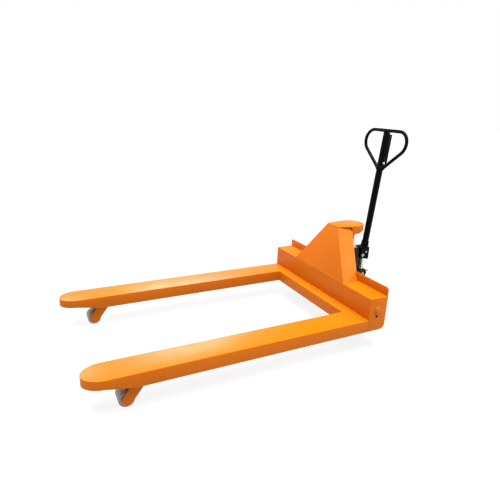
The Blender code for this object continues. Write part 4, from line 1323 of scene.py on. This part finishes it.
def add_pump_body():
    y, wall = RAM_Y, PUMP_RADIUS
    foot, top = low("pump_housing").z, high("pump_housing").z
    body = upright(
        "pump_casting",
        [
            (0, foot), (wall + 0.009, foot), (wall + 0.01, foot + 0.001), (wall + 0.01, foot + 0.011),
            (wall + 0.0085, foot + 0.0135), (wall + 0.003, foot + 0.016), (wall, foot + 0.021),
            (wall, foot + 0.105), (wall + 0.0012, foot + 0.107), (wall + 0.0012, foot + 0.112),
            (wall, foot + 0.114),
            (wall, top - 0.024), (wall - 0.001, top - 0.019), (wall - 0.005, top - 0.014),
            (wall - 0.006, top - 0.011),
            (wall - 0.006, top - 0.001), (wall - 0.007, top), (0, top),
        ],
        steps=80,
    )
    block_top = up(PUMP_BLOCK_TOP)
    rear = machined(
        block("plunger_block", (-0.03, y + 0.02, up(PUMP_BLOCK_LOW)), (0.03, back(0.412), block_top)),
        edge=0.007, segments=4,
    )
    boss = upright(
        "plunger_boss",
        [
            (0, up(0.08)), (0.021, up(0.08)), (0.0205, block_top - 0.0005), (0.0195, block_top),
            (0, block_top),
        ],
        PLUNGER_Y, 48,
    )
    lug_points = circle(TILLER_PIVOT[1:], 0.0145) + [(y + 0.03, up(0.24)), (y + 0.03, up(0.165))]
    lug = machined(prism("lug", hull(lug_points), "X", -0.021, 0.021), edge=0.002, segments=3)
    ears = []
    for x in (-0.008, 0.008):
        ear_points = circle(VALVE_PIVOT, 0.0088, 32) + [(back(0.405), up(0.048)), (back(0.405), up(0.072))]
        ear = prism(f"ear_{x}", hull(ear_points), "X", x - 0.003, x + 0.003)
        ears.append(machined(ear, edge=0.0008, segments=2))
    valve_pin = cross_bar("valve_pin", VALVE_PIVOT, 0.003, -0.0125, 0.0125, 0.0006, 24)
    web = block("web", (-0.011, y + 0.03, up(PUMP_BLOCK_TOP - 0.01)), (0.011, back(0.363), up(0.19)))
    web = machined(web, edge=0.002, segments=3)
    ram_bore = upright("ram_bore", bar_profile(0.0205, top - 0.14, top + 0.05, CUTTER_EDGE), steps=64)
    plunger_hole = bar_profile(0.0115, up(0.04), up(PUMP_BLOCK_TOP + 0.02), CUTTER_EDGE)
    plunger_bore = upright("plunger_bore", plunger_hole, PLUNGER_Y, 40)
    pin_bore = drill(TILLER_PIVOT, BORE_16, -0.05, 0.05, 40)
    bores = [ram_bore, plunger_bore, pin_bore]
    machined(body, welded=[rear, boss, lug, web, *ears, valve_pin], carved=bores)
    carry(body, "pump", "cast_black", "pump_housing")


def add_pump_fittings():
    y, foot = RAM_Y, low("pump_housing").z
    place = (middle("filler_plug").x, low("filler_plug").y - 0.0004, middle("filler_plug").z)
    plug = hexagon_bolt("filler_plug_head", place, 0.008, 0.006, (0, 1, 0))
    carry(plug, "pump", "steel", "filler_plug")
    bolts = []
    for k, a in enumerate(radians(t) for t in (25, 155, 205, 335)):
        place = (0.0505 * cos(a), y + 0.0505 * sin(a), foot + 0.0118)
        bolts.append(hexagon_bolt(f"bolt_{k}", place, 0.0042, 0.004, (0, 0, 1), 20 * k))
    for s in (1, -1):
        place = (s * 0.0297, PLUNGER_Y - 0.006, up(0.066))
        bolts.append(hexagon_bolt(f"relief_{s}", place, 0.007, 0.0065, (s, 0, 0), 12))
    carry(joined("pump_bolts", bolts), "pump", "steel")
    reach = high("tiller_pivot_pin").x
    pin = pin_with_clips("tiller_pin_bar", TILLER_PIVOT, 0, 0.008, reach)
    carry(pin, "pump", "steel", "tiller_pivot_pin")


def add_valve_lever():
    outline = hull(circle(VALVE_PIVOT, 0.009) + circle((back(0.452), up(0.078)), 0.005, 32))
    lever = prism("valve_lever_plate", outline, "X", -0.004, 0.004)
    hole = drill(VALVE_PIVOT, 0.0034, -0.02, 0.02, 32)
    eye = drill((back(0.4495), up(0.0762)), 0.0017, -0.02, 0.02, 20)
    machined(lever, edge=0.001, segments=3)
    carry(machined(lever, carved=[hole, eye]), "valve_lever", "steel", "valve_lever")


def add_plunger():
    """Add the pump's plunger and its return spring."""
    near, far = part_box("pump_plunger")
    radius, cap = 0.011, 0.0155
    profile = [
        (0, near.z), (radius - 0.001, near.z), (radius, near.z + 0.001), (radius, far.z - 0.0115),
        (radius + 0.0012, far.z - 0.01), (cap - 0.0006, far.z - 0.01), (cap, far.z - 0.0093),
        (cap, far.z - 0.0022), (cap - 0.0007, far.z - 0.0007), (cap - 0.0024, far.z), (0, far.z),
    ]
    carry(upright("plunger_bar", profile, PLUNGER_Y, 56), "plunger", "chrome", "pump_plunger")
    add_spring()


def add_spring():
    """The wire closes up to a flat end turn against the block and the cap."""
    near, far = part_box("plunger_spring")
    wire, turns, steps, dead = 0.0015, 9, 28, 1.0
    low_z, high_z, middle_radius = near.z + wire, far.z - wire, 0.0138
    ends = 2 * wire * dead
    path = []
    for i in range(int(turns * steps) + 1):
        turn = i / steps
        if turn < dead:
            z = low_z + ends * turn / dead
        elif turn > turns - dead:
            z = high_z - ends * (turns - turn) / dead
        else:
            z = low_z + ends + (high_z - low_z - 2 * ends) * (turn - dead) / (turns - 2 * dead)
        a = 2 * pi * turn
        path.append((middle_radius * cos(a), PLUNGER_Y + middle_radius * sin(a), z))
    spring = swept("return_spring", path, wire, (0, 0, 1), 10)
    carry(spring, "pump", "steel", "plunger_spring", sharp=80)
    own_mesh(spring)


# ---- tiller


def add_yoke():
    """Add the yoke that pivots on the pump, with its pressure roller."""
    pivot, top = TILLER_PIVOT[1:], up(0.268)
    corner = 0.006
    outline = [
        *arc(pivot, 0.023, 180, 285, 24), (back(0.39), up(0.178)),
        *arc((back(0.4), up(0.187)), 0.009, -90, 0, 8),
        *arc((back(0.409 - corner), top - corner), corner, 0, 90, 6),
        *arc((back(0.334) + corner, top - corner), corner, 90, 180, 6),
    ]
    yoke = prism("yoke_casting", outline, "X", -0.038, 0.038)
    machined(yoke, edge=0.0032, segments=4)
    roller = PRESSURE_PIN[1:]
    bosses = []
    for s in (1, -1):
        for centre, radius, proud in ((pivot, 0.015, 0.0022), (roller, 0.0095, 0.0016)):
            face = s * 0.038
            profile = [
                (0, face - s * 0.004), (radius + 0.0012, face - s * 0.004), (radius + 0.001, face),
                (radius, face + s * proud * 0.8),
                (radius - 0.0008, face + s * proud), (0, face + s * proud),
            ]
            bosses.append(turned(f"boss_{s}_{radius}", profile, (0, *centre), steps=48))
    slot = block("slot", (-0.0235, back(0.3), up(0.1)), (0.0235, back(0.5), up(0.253)))
    holes = [drill(pivot, BORE_16, -0.06, 0.06, 48), drill(roller, 0.0053, -0.06, 0.06, 36)]
    machined(yoke, welded=bosses, carved=[slot, *holes])
    carry(yoke, "tiller", "black_paint", "tiller_yoke")
    reach = high("pressure_pin").x + 0.0012
    carry(pin_with_clips("pressure_pin_bar", roller, 0, 0.005, reach), "tiller", "steel", "pressure_pin")
    half = high("pressure_roller").x
    profile = tube_profile(0.0053, 0.012, -half, half, 0.0012)
    ring = turned("pressure_roller_ring", profile, (0, *roller), steps=48)
    carry(ring, "tiller", "steel", "pressure_roller")


TUBE_RADIUS, TUBE_BORE = 0.0222, 0.018
FLANK, SHOULDER, WIDEST = 0.08, 0.073, 0.688
LEG_ANGLE = 50


def add_tiller():
    """Add the tiller tube, its socket and the heart-shaped hand loop."""
    foot = (up(0.2683) - TILLER_FOOT.z + TUBE_RADIUS * sin(TILLER_TILT)) / cos(TILLER_TILT)
    add_tube(foot)
    add_loop()


def add_tube(foot):
    top = LOOP_TOP - LOOP_TUBE - CLEAR
    profile = [(TUBE_BORE, foot), (TUBE_RADIUS, foot), (TUBE_RADIUS, top), (TUBE_BORE, top)]
    tube = onto_tiller(upright("tube", profile, 0))
    bolt_hole = drill(CONTROL_PIN, BOLT_BORE, -0.05, 0.05, 32)
    carry(machined(tube, carved=[bolt_hole]), "tiller", "black_paint", "tiller_tube")
    socket = [
        (TUBE_RADIUS + 0.0002, foot + 0.0012), (TUBE_RADIUS + 0.0072, foot + 0.0012),
        (TUBE_RADIUS + 0.0075, foot + 0.004),
        (TUBE_RADIUS + 0.0045, foot + 0.01), (TUBE_RADIUS + 0.0042, foot + 0.03),
        (TUBE_RADIUS + 0.003, foot + 0.033),
        (TUBE_RADIUS + 0.0002, foot + 0.034),
    ]
    carry(onto_tiller(upright("tube_socket", socket, 0)), "tiller", "black_paint")
    bolts = []
    for s in (1, -1):
        place = Vector((s * (TUBE_RADIUS + 0.0038), 0, foot + 0.02))
        head = hexagon_bolt(f"socket_bolt_{s}", place, 0.0062, 0.005, (s, 0, 0), 15)
        bolts.append(onto_tiller(head))
    carry(joined("socket_bolts", bolts), "tiller", "black_paint")


def add_loop():
    flank = (LOOP_HALF - FLANK, WIDEST)
    shoulder = (LOOP_HALF - SHOULDER, LOOP_TOP - SHOULDER)
    half = arc(flank, FLANK, -LEG_ANGLE, 0, 20) + arc(shoulder, SHOULDER, 0, 90, 30)[1:]
    start, angle = half[0], radians(LEG_ANGLE)
    leg_x = TUBE_RADIUS + 0.0025
    run = (start[0] - leg_x) / sin(angle)
    leg = (leg_x, start[1] - run * cos(angle))
    straight = between(leg, start, 8)
    top = [(shoulder[0] * (1 - i / 6), LOOP_TOP) for i in range(1, 7)]
    right = straight + half + top
    path = [(x, 0, v) for x, v in right] + [(-x, 0, v) for x, v in reversed(right[:-1])]
    loop = onto_tiller(swept("hand_loop", path, LOOP_TUBE, (0, 1, 0), 28))
    foot, outer, inner = leg[1] - 0.012, 0.0275, TUBE_RADIUS + 0.0004
    profile = [
        (inner, foot), (outer - 0.0014, foot), (outer, foot + 0.0016), (outer, foot + 0.0234),
        (outer - 0.0014, foot + 0.025),
        (inner, foot + 0.025),
    ]
    collar = onto_tiller(upright("loop_collar", profile, 0))
    bore = onto_tiller(upright("bore", bar_profile(inner, foot - 0.1, foot + 0.1, CUTTER_EDGE), 0))
    machined(loop, carved=[bore])
    carry(joined("hand_loop", [loop, collar]), "tiller", "black_paint", "handle_loop")
    beads = []
    for s in (1, -1):
        centre = Vector((s * (leg[0] + 0.0045), 0, leg[1] + 0.0038))
        axis = Vector((s * sin(angle), 0, cos(angle)))
        side = axis.cross(Vector((0, 1, 0)))
        around = [
            centre + (LOOP_TUBE + 0.0004) * (side * cos(a) + Vector((0, 1, 0)) * sin(a))
            for a in (2 * pi * i / 40 for i in range(41))
        ]
        bead = swept(f"leg_bead_{s}", around, 0.0022, axis, 8, lambda i: 1 + 0.12 * sin(i * 2.1))
        beads.append(onto_tiller(bead))
    carry(joined("loop_weld_beads", beads), "tiller", "black_paint", sharp=80)


def add_control():
    """Add the control lever on the back of the tiller, with its pin."""
    pivot = along_tiller(CONTROL_PIN)
    base, top = pivot.z - 0.014, 0.738
    side, inner, web, depth = 0.0255, 0.0228, 0.0255, 0.0282
    lever = block("control_channel", (-side, -0.006, base), (side, depth, top))
    cuts = [
        block("channel", (-inner, -0.05, base - 0.01), (inner, web, top + 0.01)),
        block("taper", (-0.05, -0.05, pivot.z + 0.04), (0.05, 0.006, top + 0.01)),
        block("heel", (-inner, -0.05, base - 0.01), (inner, 0.05, pivot.z + 0.002)),
    ]
    machined(lever, carved=cuts[:1])
    machined(lever, carved=cuts[1:], edge=0.0011, segments=3)
    onto_tiller(lever)
    hole = drill(CONTROL_PIN, BOLT_BORE, -0.05, 0.05, 32)
    carry(machined(lever, carved=[hole]), "control_lever", "black_paint", "control_lever")
    grip = onto_tiller(palm_ribs(depth, top))
    carry(grip, "control_lever", "black_paint")
    reach = high("control_pin").x
    parts = [cross_bar("bolt", CONTROL_PIN, 0.004, -reach, reach, 0.0006, 32)]
    for s in (1, -1):
        place = (s * (side + 0.0004), *CONTROL_PIN[1:])
        parts.append(hexagon_bolt(f"nut_{s}", place, 0.0062, 0.004, (s, 0, 0), 8))
    carry(joined("control_bolt", parts), "tiller", "steel", "control_pin")


def palm_ribs(depth, top):
    """Raised ribs across the lever's back, for the palm."""
    ribs = []
    for k in range(7):
        v = top - 0.02 - 0.009 * k
        rib = block(f"rib_{k}", (-0.017, depth - 0.001, v - 0.0022), (0.017, depth + 0.0014, v + 0.0022))
        ribs.append(machined(rib, edge=0.001, segments=3))
    return joined("control_ribs", ribs)


def add_kept_pieces():
    """Give the pieces that keep their plain mesh their finish."""
    slots = {part["node"]: part["material_slot"] for part in frame["record"]["subparts"]}
    for name, node in frame["nodes"].items():
        node.data.materials.clear()
        node.data.materials.append(FINISHES[slots[name]]())


# ---- panel and registration


def operator(key, label, build):
    """A button that runs one builder."""

    def execute(self, context):
        build()
        return {"FINISHED"}

    names = {"__doc__": build.__doc__.rstrip("."), "bl_idname": f"jack.{key}", "bl_label": label}
    return type(f"JACK_OT_{key}", (bpy.types.Operator,), {**names, "execute": execute})


OPERATORS = (
    operator("stage", "Studio stage", add_stage),
    operator("kept_pieces", "Kept pieces", add_kept_pieces),
    operator("forks", "Forks and cross beam", add_forks),
    operator("heel", "Heel", add_heel),
    operator("tower", "Tower and tongue", add_tower),
    operator("ram", "Ram", add_ram),
    operator("load_levers", "Load levers and rollers", add_load_levers),
    operator("linkage", "Lift shaft and push rods", add_linkage),
    operator("steering", "Steering wheels", add_steering),
    operator("pump", "Pump", add_pump),
    operator("plunger", "Plunger and spring", add_plunger),
    operator("yoke", "Yoke", add_yoke),
    operator("tiller", "Tiller and loop", add_tiller),
    operator("control", "Control lever", add_control),
)
GROUPS = {"jack_paint": JackPaint, "jack_sizes": JackSizes, "jack_stage": JackStage}


class JACK_PT_panel(bpy.types.Panel):
    """Sizes, colours and pieces of the pallet jack"""

    bl_label = "Pallet Jack"
    bl_idname = "JACK_PT_panel"
    bl_space_type = "VIEW_3D"
    bl_region_type = "UI"
    bl_category = "Pallet Jack"

    def draw(self, context):
        layout = self.layout
        for name, group in GROUPS.items():
            box = layout.box()
            box.label(text=group.__doc__)
            for key in group.__annotations__:
                box.prop(getattr(context.scene, name), key)
        for operator in OPERATORS:
            layout.operator(operator.bl_idname)


def register():
    for cls in (*GROUPS.values(), *OPERATORS, JACK_PT_panel):
        bpy.utils.register_class(cls)
    for name, group in GROUPS.items():
        setattr(bpy.types.Scene, name, PointerProperty(type=group))


def unregister():
    for name in GROUPS:
        delattr(bpy.types.Scene, name)
    for cls in reversed((*GROUPS.values(), *OPERATORS, JACK_PT_panel)):
        bpy.utils.unregister_class(cls)


def main():
    register()
    for operator in OPERATORS:
        category, name = operator.bl_idname.split(".")
        getattr(getattr(bpy.ops, category), name)()


if __name__ == "__main__":
    main()
